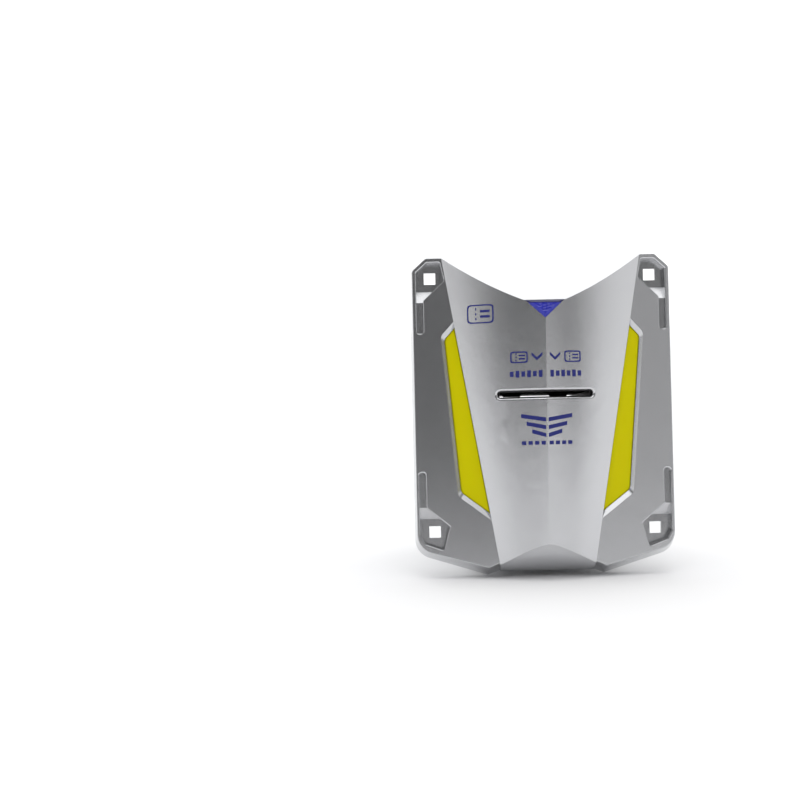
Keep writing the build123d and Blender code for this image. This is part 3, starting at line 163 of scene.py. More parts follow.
class Graph(Nodes):
    """A material's nodes, laid down through short calls."""

    def __init__(self, name: str) -> None:
        """Start a material whose shader reads the piece's own coordinates.

        Args:
            name: The material's name.
        """
        self.material = bpy.data.materials.new(name)
        self.material.use_nodes = True
        super().__init__(self.material.node_tree)
        self.shader = self.tree.nodes["Principled BSDF"]
        self.place = self.add("ShaderNodeTexCoord", {}).outputs["Object"]

    def put(self, **values: object) -> None:
        """Feed the shader's sockets, named with an underscore for each space."""
        for key, value in values.items():
            self.feed(self.shader.inputs[key.replace("_", " ")], value)

    def stretched(self, scale: Point) -> bpy.types.NodeSocket:
        """Give the piece's coordinates, stretched by a factor along each axis."""
        inputs = {"Vector": self.place, "Scale": scale}
        return self.add("ShaderNodeMapping", inputs).outputs[0]

    def noise(self, size: float, detail: float = 2, where: object = None) -> bpy.types.NodeSocket:
        """Give soft noise from 0 to 1."""
        inputs = {"Vector": where or self.place, "Scale": 1 / (size * MM), "Detail": detail}
        return self.add("ShaderNodeTexNoise", inputs).outputs["Fac"]

    def cells(self, size: float, output: str = "Color", **settings: object) -> bpy.types.NodeSocket:
        """Give a pattern of cells."""
        inputs = {"Vector": self.place, "Scale": 1 / (size * MM)}
        return self.add("ShaderNodeTexVoronoi", inputs, **settings).outputs[output]

    def span(self, value: object, start: float, end: float, low: float, high: float) -> bpy.types.NodeSocket:
        """Carry a value in one span over to another, with its ends held."""
        inputs = {"Value": value, "From Min": start, "From Max": end, "To Min": low, "To Max": high}
        return self.add("ShaderNodeMapRange", inputs).outputs["Result"]

    def sum(self, operation: str, first: object, second: object) -> bpy.types.NodeSocket:
        """Do a sum."""
        return self.add("ShaderNodeMath", {0: first, 1: second}, operation=operation).outputs[0]

    def shade(self, factor: object, first: Colour, second: Colour) -> bpy.types.NodeSocket:
        """Mix two colours.

        Args:
            factor: Share of the second colour.
            first: Colour, or a socket that gives one, at 0.
            second: Colour, or a socket that gives one, at 1.

        Returns:
            The mixed colour.
        """
        colours = [c if isinstance(c, bpy.types.NodeSocket) else (*c, 1) for c in (first, second)]
        inputs = {0: factor, 6: colours[0], 7: colours[1]}
        return self.add("ShaderNodeMix", inputs, data_type="RGBA").outputs[2]

    def soft_edge(self, radius: float) -> bpy.types.NodeSocket:
        """Give a normal that rounds every sharp edge."""
        return self.add("ShaderNodeBevel", {"Radius": radius * MM}, samples=4).outputs[0]

    def edge_mask(self, radius: float) -> bpy.types.NodeSocket:
        """Give 1 along sharp edges and 0 elsewhere, from how far the rounded normal leans.

        Args:
            radius: Reach of the edges in millimetres.

        Returns:
            The mask.
        """
        flat = self.add("ShaderNodeNewGeometry", {}).outputs["Normal"]
        inputs = {0: self.soft_edge(radius), 1: flat}
        lean = self.add("ShaderNodeVectorMath", inputs, operation="DOT_PRODUCT").outputs["Value"]
        return self.span(lean, 0.995, 0.86, 0, 1)

    def bump(self, height: object, depth: float, normal: object = None) -> bpy.types.NodeSocket:
        """Give a normal that follows a height.

        Args:
            height: Height from 0 to 1.
            depth: Its full depth in millimetres.
            normal: A normal to start from.

        Returns:
            The bumped normal.
        """
        inputs = {"Height": height, "Distance": depth * MM, "Strength": 1}
        if normal is not None:
            inputs["Normal"] = normal
        return self.add("ShaderNodeBump", inputs).outputs[0]


@dataclass(frozen=True)
class Finish:
    """A surface's finish. Each kind adds its own detail."""

    name: str
    colour: Colour
    roughness: float
    metallic: float = 0.0

    def detail(self, graph: Graph) -> None:
        """Lay down what a plain colour lacks. Kinds of finish override it."""

    def material(self) -> bpy.types.Material:
        """Return the material, made once for all pieces that share the finish."""
        made = bpy.data.materials.get(self.name)
        if made is not None:
            return made
        graph = Graph(self.name)
        graph.put(Base_Color=(*self.colour, 1), Roughness=self.roughness, Metallic=self.metallic)
        self.detail(graph)
        return graph.material


@dataclass(frozen=True)
class MetalPaint(Finish):
    """Silver paint: fine flake under a thin lacquer, with the faint waviness of a moulded face."""

    flake: float = 0.09
    wave: float = 6.0

    def detail(self, graph: Graph) -> None:
        """Lay down the flake, the lacquer and the waviness."""
        spark = graph.cells(self.flake)
        level = graph.add("ShaderNodeSeparateColor", {0: spark}).outputs[0]
        dark = scaled(self.colour, 0.86)
        light = scaled(self.colour, 1.08)
        cloud = graph.noise(self.wave * 4, 3)
        fleck = graph.sum("MULTIPLY", level, 0.7)
        share = graph.sum("ADD", fleck, graph.sum("MULTIPLY", cloud, 0.3))
        graph.put(Base_Color=graph.shade(share, dark, light))
        rough = graph.sum("ADD", graph.span(level, 0, 1, -0.05, 0.05), self.roughness)
        graph.put(Roughness=rough, Coat_Weight=0.25, Coat_Roughness=0.12)
        wave = graph.noise(self.wave, 1)
        grain = graph.bump(level, 0.0016, graph.soft_edge(0.12))
        graph.put(Normal=graph.bump(wave, 0.012, grain))


@dataclass(frozen=True)
class Acrylic(Finish):
    """Tinted translucent sheet, darker along its rim with painted shade."""

    # Painted shade: the rim colour stands for the shadow in the gap round the panel.
    rim: Colour = (0.13, 0.12, 0.0)

    def detail(self, graph: Graph) -> None:
        """Lay down the tint, the painted shade along its rim and the polish."""
        edge = graph.edge_mask(0.8)
        cloud = graph.noise(14, 2)
        pale = scaled(self.colour, 1.05)
        body = graph.shade(cloud, self.colour, pale)
        # Painted shade: the edge mask darkens the rim towards the rim colour.
        graph.put(Base_Color=graph.shade(graph.sum("MULTIPLY", edge, 0.9), body, self.rim))
        haze = graph.noise(3, 3)
        graph.put(Roughness=graph.span(haze, 0.3, 0.7, self.roughness - 0.05, self.roughness + 0.06))
        graph.put(Subsurface_Weight=0.12, Subsurface_Scale=0.002, Specular_IOR_Level=0.12)
        graph.put(Normal=graph.bump(graph.noise(0.5, 2), 0.004))


@dataclass(frozen=True)
class Jewel(Finish):
    """Deep tinted lens, darker along its upper rim than in its table."""

    rim: Colour = (0.004, 0.004, 0.09)
    rim_height: float = 39.6

    def detail(self, graph: Graph) -> None:
        """Lay down the tint, the darker upper rim and a painted sparkle of lighter cells in the table."""
        height = graph.add("ShaderNodeSeparateXYZ", {0: graph.place}).outputs[2]
        upper = graph.span(height, (self.rim_height - 0.3) * MM, (self.rim_height + 0.1) * MM, 0, 1)
        # Painted sparkle: lighter cells in the table's colour stand for glints from the cut facets below its
        # face.
        spark = graph.cells(0.9, "Distance")
        light = scaled(self.colour, 1.5, 0.03)
        table = graph.shade(graph.span(spark, 0.1, 0.6, 0, 0.5), self.colour, light)
        graph.put(Base_Color=graph.shade(upper, table, self.rim))
        graph.put(Transmission_Weight=0.1, IOR=1.49, Specular_IOR_Level=0.25)
        graph.put(Coat_Weight=0.25, Coat_Roughness=0.08)
        graph.put(Roughness=graph.span(spark, 0, 1, self.roughness, self.roughness + 0.1))


@dataclass(frozen=True)
class Plated(Finish):
    """Plated or bare metal: drawn grain, patches of brighter plating and a painted highlight along its
    edges.
    """

    grain: Point = (1.0, 1.0, 1.0)
    grain_size: float = 0.25
    patch: float = 5.0
    edge: float = 0.15

    def detail(self, graph: Graph) -> None:
        """Lay down the drawn grain, the plating's patches and the painted edge highlight."""
        lines = graph.noise(self.grain_size, 3, graph.stretched(self.grain))
        patches = graph.add("ShaderNodeSeparateColor", {0: graph.cells(self.patch)}).outputs[0]
        dull = scaled(self.colour, 0.84)
        share = graph.sum("ADD", graph.sum("MULTIPLY", lines, 0.6), graph.sum("MULTIPLY", patches, 0.4))
        body = graph.shade(share, dull, self.colour)
        # Painted highlight: the edges are lightened as light catching them would.
        edge_highlight_colour = scaled(self.colour, 1.25)
        edge = graph.edge_mask(self.edge)
        graph.put(Base_Color=graph.shade(edge, body, edge_highlight_colour))
        spread = graph.span(lines, 0.25, 0.75, -0.06, 0.08)
        graph.put(Roughness=graph.sum("ADD", spread, graph.span(patches, 0, 1, self.roughness - 0.04,
                                                                self.roughness + 0.04)))
        graph.put(Normal=graph.bump(lines, 0.003, graph.soft_edge(self.edge)))


@dataclass(frozen=True)
class Moulded(Finish):
    """Moulded plastic or rubber: fine grain, a faint bloom and a painted highlight that lightens its edges.
    """

    grain: float = 0.18
    depth: float = 0.012
    # Gain of the painted highlight along the edges.
    edge_highlight_gain: float = 1.5

    def detail(self, graph: Graph) -> None:
        """Lay down the grain, the bloom and the painted edge highlight."""
        bloom = graph.noise(9, 3)
        dark = scaled(self.colour, 0.88)
        pale = scaled(self.colour, 1.1, 0.004)
        body = graph.shade(bloom, dark, pale)
        # Painted highlight: the edges are lightened by a gain, as light catching them would.
        edge_highlight_tint = scaled(self.colour, self.edge_highlight_gain, 0.01)
        graph.put(Base_Color=graph.shade(graph.sum("MULTIPLY", graph.edge_mask(0.2), 0.5), body, edge_highlight_tint))
        graph.put(Roughness=graph.span(bloom, 0.3, 0.7, self.roughness - 0.05, self.roughness + 0.06))
        graph.put(Normal=graph.bump(graph.noise(self.grain, 3), self.depth, graph.soft_edge(0.15)))


@dataclass(frozen=True)
class CircuitBoard(Finish):
    """Solder mask over copper: square tracks, tinned pads and the woven edge of the laminate."""

    copper: Colour = (0.02, 0.12, 0.04)
    tin: Colour = (0.62, 0.6, 0.55)
    pitch: float = 2.1

    def detail(self, graph: Graph) -> None:
        """Lay down tracks, pads and the bare laminate of the edges."""
        tracks = graph.cells(self.pitch, "Distance", distance="CHEBYCHEV", feature="DISTANCE_TO_EDGE")
        track = graph.span(tracks, 0.06, 0.1, 1, 0)
        pads = graph.cells(self.pitch * 1.3, "Distance", distance="EUCLIDEAN")
        pad = graph.span(pads, 0.1, 0.14, 1, 0)
        mask = graph.shade(track, self.colour, self.copper)
        tinned = graph.shade(pad, mask, self.tin)
        graph.put(Base_Color=graph.shade(graph.edge_mask(0.15), tinned, (0.35, 0.4, 0.12)))
        graph.put(Roughness=graph.span(pad, 0, 1, self.roughness, 0.22))
        graph.put(Metallic=graph.span(pad, 0, 1, 0, 0.9))
        height = graph.sum("MAXIMUM", track, pad)
        graph.put(Normal=graph.bump(height, 0.03, graph.soft_edge(0.1)))


@dataclass(frozen=True)
class Ink(Finish):
    """Screen printed ink, slightly uneven where the screen left it thinner."""

    def detail(self, graph: Graph) -> None:
        """Lay down the uneven cover of the ink."""
        thin = scaled(self.colour, 1.3, 0.008)
        cover = graph.span(graph.noise(0.35, 3), 0.45, 0.75, 0, 0.5)
        graph.put(Base_Color=graph.shade(cover, self.colour, thin))
        film = graph.noise(0.2, 2)
        graph.put(Roughness=graph.span(film, 0, 1, self.roughness - 0.08, self.roughness + 0.08))
        graph.put(Normal=graph.bump(graph.noise(0.12, 1), 0.004))


SILVER = MetalPaint("flake_silver", (0.60, 0.605, 0.62), 0.22, 0.92)
YELLOW = Acrylic("yellow_acrylic", linear(216, 208, 0), 0.34)
LENS_BLUE = Jewel("blue_lens_tint", linear(34, 40, 165), 0.1)
ZINC = Plated("zinc_plate", (0.60, 0.62, 0.64), 0.38, 1.0, grain=(1, 1, 0.12), patch=7.0)
SCREW_ZINC = Plated("screw_zinc", (0.66, 0.67, 0.68), 0.28, 1.0, grain_size=0.15, edge=0.1)
BRIGHT = Plated("ground_steel", (0.72, 0.72, 0.73), 0.2, 1.0, grain=(6, 1, 1), grain_size=0.2)
SPRING = Plated("spring_wire", (0.42, 0.43, 0.45), 0.3, 1.0, grain_size=0.12, edge=0.06)
MOTOR = Plated("motor_can_steel", (0.52, 0.53, 0.55), 0.3, 1.0, grain=(0.15, 1, 1))
ARM = Plated("arm_plate", (0.56, 0.57, 0.6), 0.34, 1.0, grain=(1, 0.2, 1))
BRASS = Plated("pin_brass", (0.78, 0.58, 0.25), 0.24, 1.0, grain_size=0.12, edge=0.08)
BRONZE = Plated("sintered_bronze", (0.50, 0.31, 0.16), 0.45, 1.0, grain_size=0.1, patch=0.5)
BLACK = Moulded("black_moulding", (0.022, 0.022, 0.024), 0.45)
RUBBER = Moulded("tyre_rubber", (0.035, 0.035, 0.037), 0.72, grain=0.12, depth=0.02, edge_highlight_gain=1.2)
NYLON = Moulded("moulded_nylon", (0.72, 0.71, 0.67), 0.42, grain=0.3, depth=0.008, edge_highlight_gain=1.05)
RED = Moulded("button_cap_red", linear(190, 24, 20), 0.3, grain=0.4, depth=0.006, edge_highlight_gain=1.2)
LED = Moulded("led_body", (0.82, 0.8, 0.66), 0.25, grain=0.4, depth=0.004, edge_highlight_gain=1.0)
BOARD = CircuitBoard("circuit_board", (0.008, 0.07, 0.022), 0.3)
SLEEVE = Moulded("capacitor_sleeve", (0.03, 0.035, 0.09), 0.3, grain=0.5, depth=0.003)
NAVY_INK = Ink("navy_ink", linear(14, 26, 112), 0.6)

SLOT_FINISH = {
    Slot.SILVER_PAINT: SILVER, Slot.YELLOW_PANEL: YELLOW, Slot.BLUE_LENS: LENS_BLUE, Slot.BOARD_GREEN: BOARD,
    Slot.LED_WHITE: LED, Slot.ZINC_SCREW: SCREW_ZINC, Slot.ZINC_SHEET: ZINC, Slot.BLACK_PLASTIC: BLACK,
    Slot.BRIGHT_STEEL: BRIGHT, Slot.SPRING_STEEL: SPRING, Slot.FEED_RUBBER: RUBBER, Slot.WHITE_NYLON: NYLON,
    Slot.BRONZE: BRONZE, Slot.CONTACT_BRASS: BRASS, Slot.MOTOR_STEEL: MOTOR, Slot.ARM_STEEL: ARM,
    Slot.BUTTON_RED: RED,
}


def placed(name: str, data: bpy.types.ID) -> bpy.types.Object:
    """Return an object of the data, linked into the scene."""
    made = bpy.data.objects.new(name, data)
    bpy.context.scene.collection.objects.link(made)
    return made


def dressed(name: str, mesh: bpy.types.Mesh, finish: Finish, slot: Slot, body: Body) -> bpy.types.Object:
    """Make an object of a mesh at the origin, dressed and riding on its body.

    Args:
        name: The object's name.
        mesh: Its mesh, in the frame's own place.
        finish: Its finish.
        slot: The record's slot, not used.
        body: The body that it moves with.

    Returns:
        The object.
    """
    mesh.materials.append(finish.material())
    made = placed(name, mesh)
    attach(made, body.value)
    log.info("%s: %d faces on %s", name, len(mesh.polygons), body.value)
    return made


@dataclass
class Surface:
    """Points in millimetres and the faces between them."""

    points: Array
    faces: list[list[int]]

    def __add__(self, other: "Surface") -> "Surface":
        """Return both surfaces as one."""
        shifted = [[index + len(self.points) for index in face] for face in other.faces]
        return Surface(np.vstack([self.points, other.points]), self.faces + shifted)

    def mesh(self, name: str, smooth: bool = True) -> bpy.types.Mesh:
        """Make a mesh of the surface, its faces pointing outwards.

        Args:
            name: The mesh's name.
            smooth: Whether faces that lean little are shaded as one.

        Returns:
            The mesh.
        """
        mesh = bpy.data.meshes.new(name)
        mesh.from_pydata((self.points * MM).tolist(), [], self.faces)
        shape = bmesh.new()
        shape.from_mesh(mesh)
        bmesh.ops.recalc_face_normals(shape, faces=shape.faces)
        shape.to_mesh(mesh)
        shape.free()
        mesh.polygons.foreach_set("use_smooth", np.full(len(mesh.polygons), smooth))
        if smooth:
            mesh.set_sharp_from_angle(angle=SHARP_ANGLE)
        return mesh

    def piece(self, name: str, finish: Finish, slot: Slot, body: Body,
              smooth: bool = True) -> bpy.types.Object:
        """Make a dressed object of the surface."""
        return dressed(name, self.mesh(name, smooth), finish, slot, body)


def join(parts: list[Surface]) -> Surface:
    """Return several surfaces as one."""
    return sum(parts[1:], parts[0])


def lattice(rows: int, columns: int, around: bool) -> list[list[int]]:
    """Give the four-sided faces of a grid of points that are numbered row by row.

    Face (i, j) joins point i * columns + j to its right, upper right and upper neighbours.

    Args:
        rows: Rows of points.
        columns: Points in each row.
        around: Whether each row closes on itself.

    Returns:
        The faces.
    """
    i, j = np.meshgrid(np.arange(rows - 1), np.arange(columns if around else columns - 1), indexing="ij")
    right = (j + 1) % columns
    corners = [i * columns + j, i * columns + right, (i + 1) * columns + right, (i + 1) * columns + j]
    return np.stack(corners, axis=-1).reshape(-1, 4).tolist()


def extruded(outline: Array, low: float, high: float) -> Surface:
    """Carry a closed outline of Y and Z along X and close both ends.

    Args:
        outline: Points of the outline, in order.
        low: X of the first end.
        high: X of the other end.

    Returns:
        The closed bar.
    """
    count = len(outline)
    rings = [np.column_stack([np.full(count, x), outline]) for x in (low, high)]
    ends = [list(range(count))[::-1], list(range(count, 2 * count))]
    return Surface(np.vstack(rings), lattice(2, count, True) + ends)


def closed_sheet(front: Array, back: Array, rows: int, columns: int, around: bool = False) -> Surface:
    """Join two equal grids of points into a closed sheet.

    The back's faces are the front's turned round, and each rim of the grid gets a strip of faces.

    Args:
        front: Points of the front, row by row.
        back: Points of the back, in the same order.
        rows: Rows of each grid.
        columns: Points in each row.
        around: Whether each row closes on itself.

    Returns:
        The closed sheet.
    """
    count = rows * columns
    faces = lattice(rows, columns, around)
    faces += [[index + count for index in face[::-1]] for face in faces]
    grid = np.arange(count).reshape(rows, columns)
    if around:
        rims = [np.append(grid[0], grid[0, 0]), np.append(grid[-1], grid[-1, 0])[::-1]]
    else:
        rims = [np.concatenate([grid[0], grid[1:, -1], grid[-1, -2::-1], grid[-2::-1, 0]])]
    for rim in rims:
        faces += np.column_stack([rim[:-1], rim[:-1] + count, rim[1:] + count, rim[1:]]).tolist()
    return Surface(np.vstack([front, back]), faces)


def tube(path: Array, radius: float | Array, sides: int) -> Surface:
    """Carry a circle along a path and close both ends.

    At each point the circle lies in the plane of two directions square to the path: the path's
    tangent crossed with a fixed direction, and the tangent crossed with that.

    Args:
        path: Points of the path, in order.
        radius: Radius of the circle, one for all points or one for each.
        sides: Points of the circle.

    Returns:
        The tube.
    """
    tangent = np.gradient(path, axis=0)
    tangent /= np.linalg.norm(tangent, axis=1)[:, None]
    spread = np.ptp(path, axis=0)
    fixed = np.eye(3)[np.argmin(spread + np.array([0, 1e-6, 2e-6]))]
    across = np.cross(tangent, fixed)
    across /= np.linalg.norm(across, axis=1)[:, None]
    up = np.cross(tangent, across)
    turn = np.linspace(0, 2 * pi, sides, endpoint=False)
    reach = np.broadcast_to(radius, len(path))[:, None, None]
    ring = across[:, None] * np.cos(turn)[None, :, None] + up[:, None] * np.sin(turn)[None, :, None]
    points = (path[:, None] + ring * reach).reshape(-1, 3)
    last = (len(path) - 1) * sides
    ends = [list(range(sides))[::-1], list(range(last, last + sides))]
    return Surface(points, lattice(len(path), sides, True) + ends)


def turned(profile: Array, centre: Point, axis: int, sides: int, ripple: Array | None = None) -> Surface:
    """Turn a closed profile about an axis.

    The profile's first column runs along the axis and its second is the distance from it. A
    ripple is added to that distance, and says how far each side stands in or out.

    Args:
        profile: Points of the closed profile, in order.
        centre: A point on the axis.
        axis: Which coordinate the axis runs along.
        sides: Points round the axis.
        ripple: One change of radius for each side and each point of the profile.

    Returns:
        The turned surface.
    """
    turn = np.linspace(0, 2 * pi, sides, endpoint=False)
    radius = np.broadcast_to(profile[:, 1], (sides, len(profile))) + (0 if ripple is None else ripple)
    points = np.empty((sides, len(profile), 3))
    first, second = [index for index in range(3) if index != axis]
    points[..., axis] = centre[axis] + profile[:, 0]
    points[..., first] = centre[first] + radius * np.cos(turn)[:, None]
    points[..., second] = centre[second] + radius * np.sin(turn)[:, None]
    faces = lattice(sides + 1, len(profile), True)
    count = sides * len(profile)
    return Surface(points.reshape(-1, 3), [[index % count for index in face] for face in faces])


def brick(low: Point, high: Point, chamfer: float = 0.0) -> Surface:
    """Make a block between two corners, its upper rim chamfered.

    The block is three rectangles one above another: its foot, the foot of the chamfer and the
    top, which is smaller by the chamfer on each side.

    Args:
        low: Lowest corner.
        high: Highest corner.
        chamfer: Width and depth of the chamfer.

    Returns:
        The closed block.
    """
    square = np.array([(-1, -1), (1, -1), (1, 1), (-1, 1)], float)
    middle = (np.array(low[:2]) + np.array(high[:2])) / 2
    half = (np.array(high[:2]) - np.array(low[:2])) / 2
    levels = [(low[2], 0.0), (high[2] - chamfer, 0.0), (high[2], chamfer)]
    if chamfer == 0:
        levels = [levels[0], levels[2]]
    rings = [np.column_stack([middle + square * (half - inset), np.full(4, z)]) for z, inset in levels]
    last = 4 * (len(levels) - 1)
    faces = lattice(len(levels), 4, True) + [[3, 2, 1, 0], [last, last + 1, last + 2, last + 3]]
    return Surface(np.vstack(rings), faces)


@dataclass
class PrismFace:
    """The faceplate's central prism, whose two facets bow outwards between ridge and wing."""

    face_half_width: float = 52.0
    edge_depth: float = 6.5
    wing_rise: float = 0.13
    head: tuple[float, float] = (40.3, 59.4)
    foot: tuple[float, float] = (19.4, -64.6)
    lower_section: float = -68.0
    ridge_depth: float = 20.9
    ridge_lean: float = 0.0603
    head_bulge: float = 1.4
    foot_bulge: float = 1.3

    def arc(self, z: float, along: Array) -> tuple[Array, Array]:
        """Give points of the right facet's cross section, from the ridge to the wing.

        The section is the arc over a chord: with the sagitta b and chord c its radius is
        c^2 / 8b + b / 2, and equal shares of the way turn it by equal angles.

        Args:
            z: Height of the section.
            along: Shares of the way from the ridge, 0, to the wing, 1.

        Returns:
            The points' X and Y.
        """
        share = (z - self.foot[1]) / (self.head[1] - self.foot[1])
        half = self.foot[0] + (self.head[0] - self.foot[0]) * share
        bulge = self.foot_bulge + (self.head_bulge - self.foot_bulge) * share
        ridge = np.array([0, -(self.ridge_depth + self.ridge_lean * z)])
        wing = np.array([half, -(self.edge_depth + self.wing_rise * (self.face_half_width - half))])
        chord = wing - ridge
        length = hypot(*chord)
        ahead = chord / length
        out = np.array([ahead[1], -ahead[0]])
        radius = length**2 / (8 * bulge) + bulge / 2
        half_turn = np.arcsin(length / 2 / radius)
        angle = half_turn * (2 * along - 1)
        run = length / 2 + radius * np.sin(angle)
        rise = radius * np.cos(angle) - (radius - bulge)
        points = ridge + run[:, None] * ahead + rise[:, None] * out
        return points[:, 0], points[:, 1]

    def depth(self, x: Array, z: Array) -> Array:
        """Give the face's Y at front view places.

        The facet is ruled between its lowest and its highest section, so a place's share of the
        way from the ridge is found by halving, and both sections' Y are mixed by height.

        Args:
            x: Places across.
            z: Heights.

        Returns:
            Y of the face at each place.
        """
        level = (z - self.lower_section) / (self.head[1] - self.lower_section)
        low, high = np.zeros(x.shape), np.ones(x.shape)
        for _ in range(40):
            middle = (low + high) / 2
            lower_x, lower_y = self.arc(self.lower_section, middle)
            upper_x, upper_y = self.arc(self.head[1], middle)
            beyond = lower_x * (1 - level) + upper_x * level > np.abs(x)
            high = np.where(beyond, middle, high)
            low = np.where(beyond, low, middle)
        return lower_y * (1 - level) + upper_y * level


@dataclass
class FrontPrint:
    """Navy marks on the prism: tickets, arrows and bars that stand for no name.

    A ticket's place is its centre across, its centre height, its width and its height.
    """

    face: PrismFace = field(default_factory=PrismFace)
    proud: float = 0.035
    sunk: float = 0.05
    step: float = 0.8
    line: float = 0.55
    ticket_x: tuple[float, float] = (-10.6, 10.8)
    ticket_z: float = 18.0
    ticket_size: tuple[float, float] = (6.8, 4.6)
    corner_ticket: tuple[float, float, float, float] = (-25.3, 36.0, 10.4, 7.6)
    code_z: float = 11.3
    code_pitch: float = 2.25
    code_bars: int = 6
    arrow_top: float = -4.6
    arrow_pitch: float = 3.1
    arrow_reach: float = 10.2
    arrow_step: float = 2.1
    arrow_line: float = 1.6
    arrow_rows: int = 3
    dash_z: float = -16.2
    dash_pitch: float = 2.55
    dashes: int = 4

    def patch(self, corners: list[tuple[float, float]]) -> Surface:
        """Lay a four-cornered mark on the face.

        Its points are mixed from the four corners in both directions, front and back, and the
        rows run round from the front to the back, so that the mark is closed all round.

        Args:
            corners: Front view corners in order round the mark.

        Returns:
            The closed mark.
        """
        a, b, c, d = (np.array(corner) for corner in corners)
        length = max(hypot(*(b - a)), hypot(*(c - d)))
        width = max(hypot(*(d - a)), hypot(*(c - b)))
        columns = int(length / self.step) + 2
        rows = int(width / self.step) + 2
        u, v = np.meshgrid(np.linspace(0, 1, columns), np.linspace(0, 1, rows))
        u, v = u.ravel()[:, None], v.ravel()[:, None]
        flat = a * (1 - u) * (1 - v) + b * u * (1 - v) + c * u * v + d * (1 - u) * v
        return self.sheet(flat, rows, columns, False)

    def sheet(self, flat: Array, rows: int, columns: int, around: bool) -> Surface:
        """Carry a grid of front view places onto the face, with a front, a back and an edge.

        Args:
            flat: X and Z of each place, row by row.
            rows: Rows of the grid.
            columns: Places in each row.
            around: Whether each row closes on itself.

        Returns:
            The closed sheet.
        """
        y = self.face.depth(flat[:, 0], flat[:, 1])
        front = np.column_stack([flat[:, 0], y - self.proud, flat[:, 1]])
        back = np.column_stack([flat[:, 0], y + self.sunk, flat[:, 1]])
        return closed_sheet(front, back, rows, columns, around)

    def bar(self, x: float, z: float, width: float, height: float) -> Surface:
        """Lay a level bar round a centre."""
        low_x, high_x, low_z, high_z = x - width / 2, x + width / 2, z - height / 2, z + height / 2
        return self.patch([(low_x, low_z), (high_x, low_z), (high_x, high_z), (low_x, high_z)])

    def ring(self, x: float, z: float, half_width: float, half_height: float, square: float) -> Surface:
        """Lay an outline between an oval and a rectangle, as a superellipse has it.

        At each angle the outline's reach is the half size times cosine or sine, raised to 2 over
        the squareness and kept on its side.

        Args:
            x: Centre across.
            z: Centre height.
            half_width: Half its width.
            half_height: Half its height.
            square: 2 for an oval, more for a squarer outline.

        Returns:
            The closed outline.
        """
        turn = np.linspace(0, 2 * pi, 64, endpoint=False)
        across = np.sign(np.cos(turn)) * np.abs(np.cos(turn)) ** (2 / square)
        up = np.sign(np.sin(turn)) * np.abs(np.sin(turn)) ** (2 / square)
        rows = [np.column_stack([x + across * (half_width - inset), z + up * (half_height - inset)])
                for inset in (0, self.line)]
        return self.sheet(np.vstack(rows), 2, len(turn), True)

    def ticket(self, x: float, z: float, width: float, height: float) -> list[Surface]:
        """Draw a ticket: an outline, its torn line of dots and two printed bars.

        Args:
            x: Centre across.
            z: Centre height.
            width: Its width.
            height: Its height.

        Returns:
            The marks.
        """
        marks = [self.ring(x, z, width / 2, height / 2, 7)]
        torn = x - width * 0.17
        for step in (-0.26, 0, 0.26):
            marks.append(self.bar(torn, z + step * height, self.line * 0.8, height * 0.13))
        for step in (-0.14, 0.14):
            marks.append(self.bar(x + width * 0.17, z + step * height, width * 0.36, height * 0.13))
        return marks

    def chevron(self, x: float, z: float, half_width: float, drop: float, width: float) -> list[Surface]:
        """Draw an arrow head that points down."""
        point = (x, z - drop)
        return [self.patch([(x - half_width, z), point, (x, z - drop + width), (x - half_width, z + width)]),
                self.patch([point, (x + half_width, z), (x + half_width, z + width), (x, z - drop + width)])]

    def build(self) -> None:
        """Make the marks above the slot, below it and at the upper left."""
        marks = []
        for x in self.ticket_x:
            marks += self.ticket(x, self.ticket_z, *self.ticket_size)
        for side in (-1, 1):
            marks += self.chevron(side * 3.6, self.ticket_z + 0.6, 2.1, 2.0, 1.2)
            for index in range(self.code_bars):
                x = side * (2.3 + index * self.code_pitch)
                marks.append(self.bar(x, self.code_z, 1.45, 2.1 if index % 2 else 2.7))
            for row in range(self.arrow_rows):
                outer = side * (self.arrow_reach - row * self.arrow_step)
                top = self.arrow_top - row * self.arrow_pitch
                middle, foot = top - self.arrow_line, top - 2 * self.arrow_line
                marks.append(self.patch([(side * 0.5, foot), (outer, middle), (outer, top),
                                         (side * 0.5, middle)]))
            for index in range(self.dashes):
                marks.append(self.bar(side * (1.6 + index * self.dash_pitch), self.dash_z, 1.7, 1.5))
        marks += self.ticket(*self.corner_ticket)
        join(marks).piece("front_print", NAVY_INK, Slot.SILVER_PAINT, Body.ROOT)


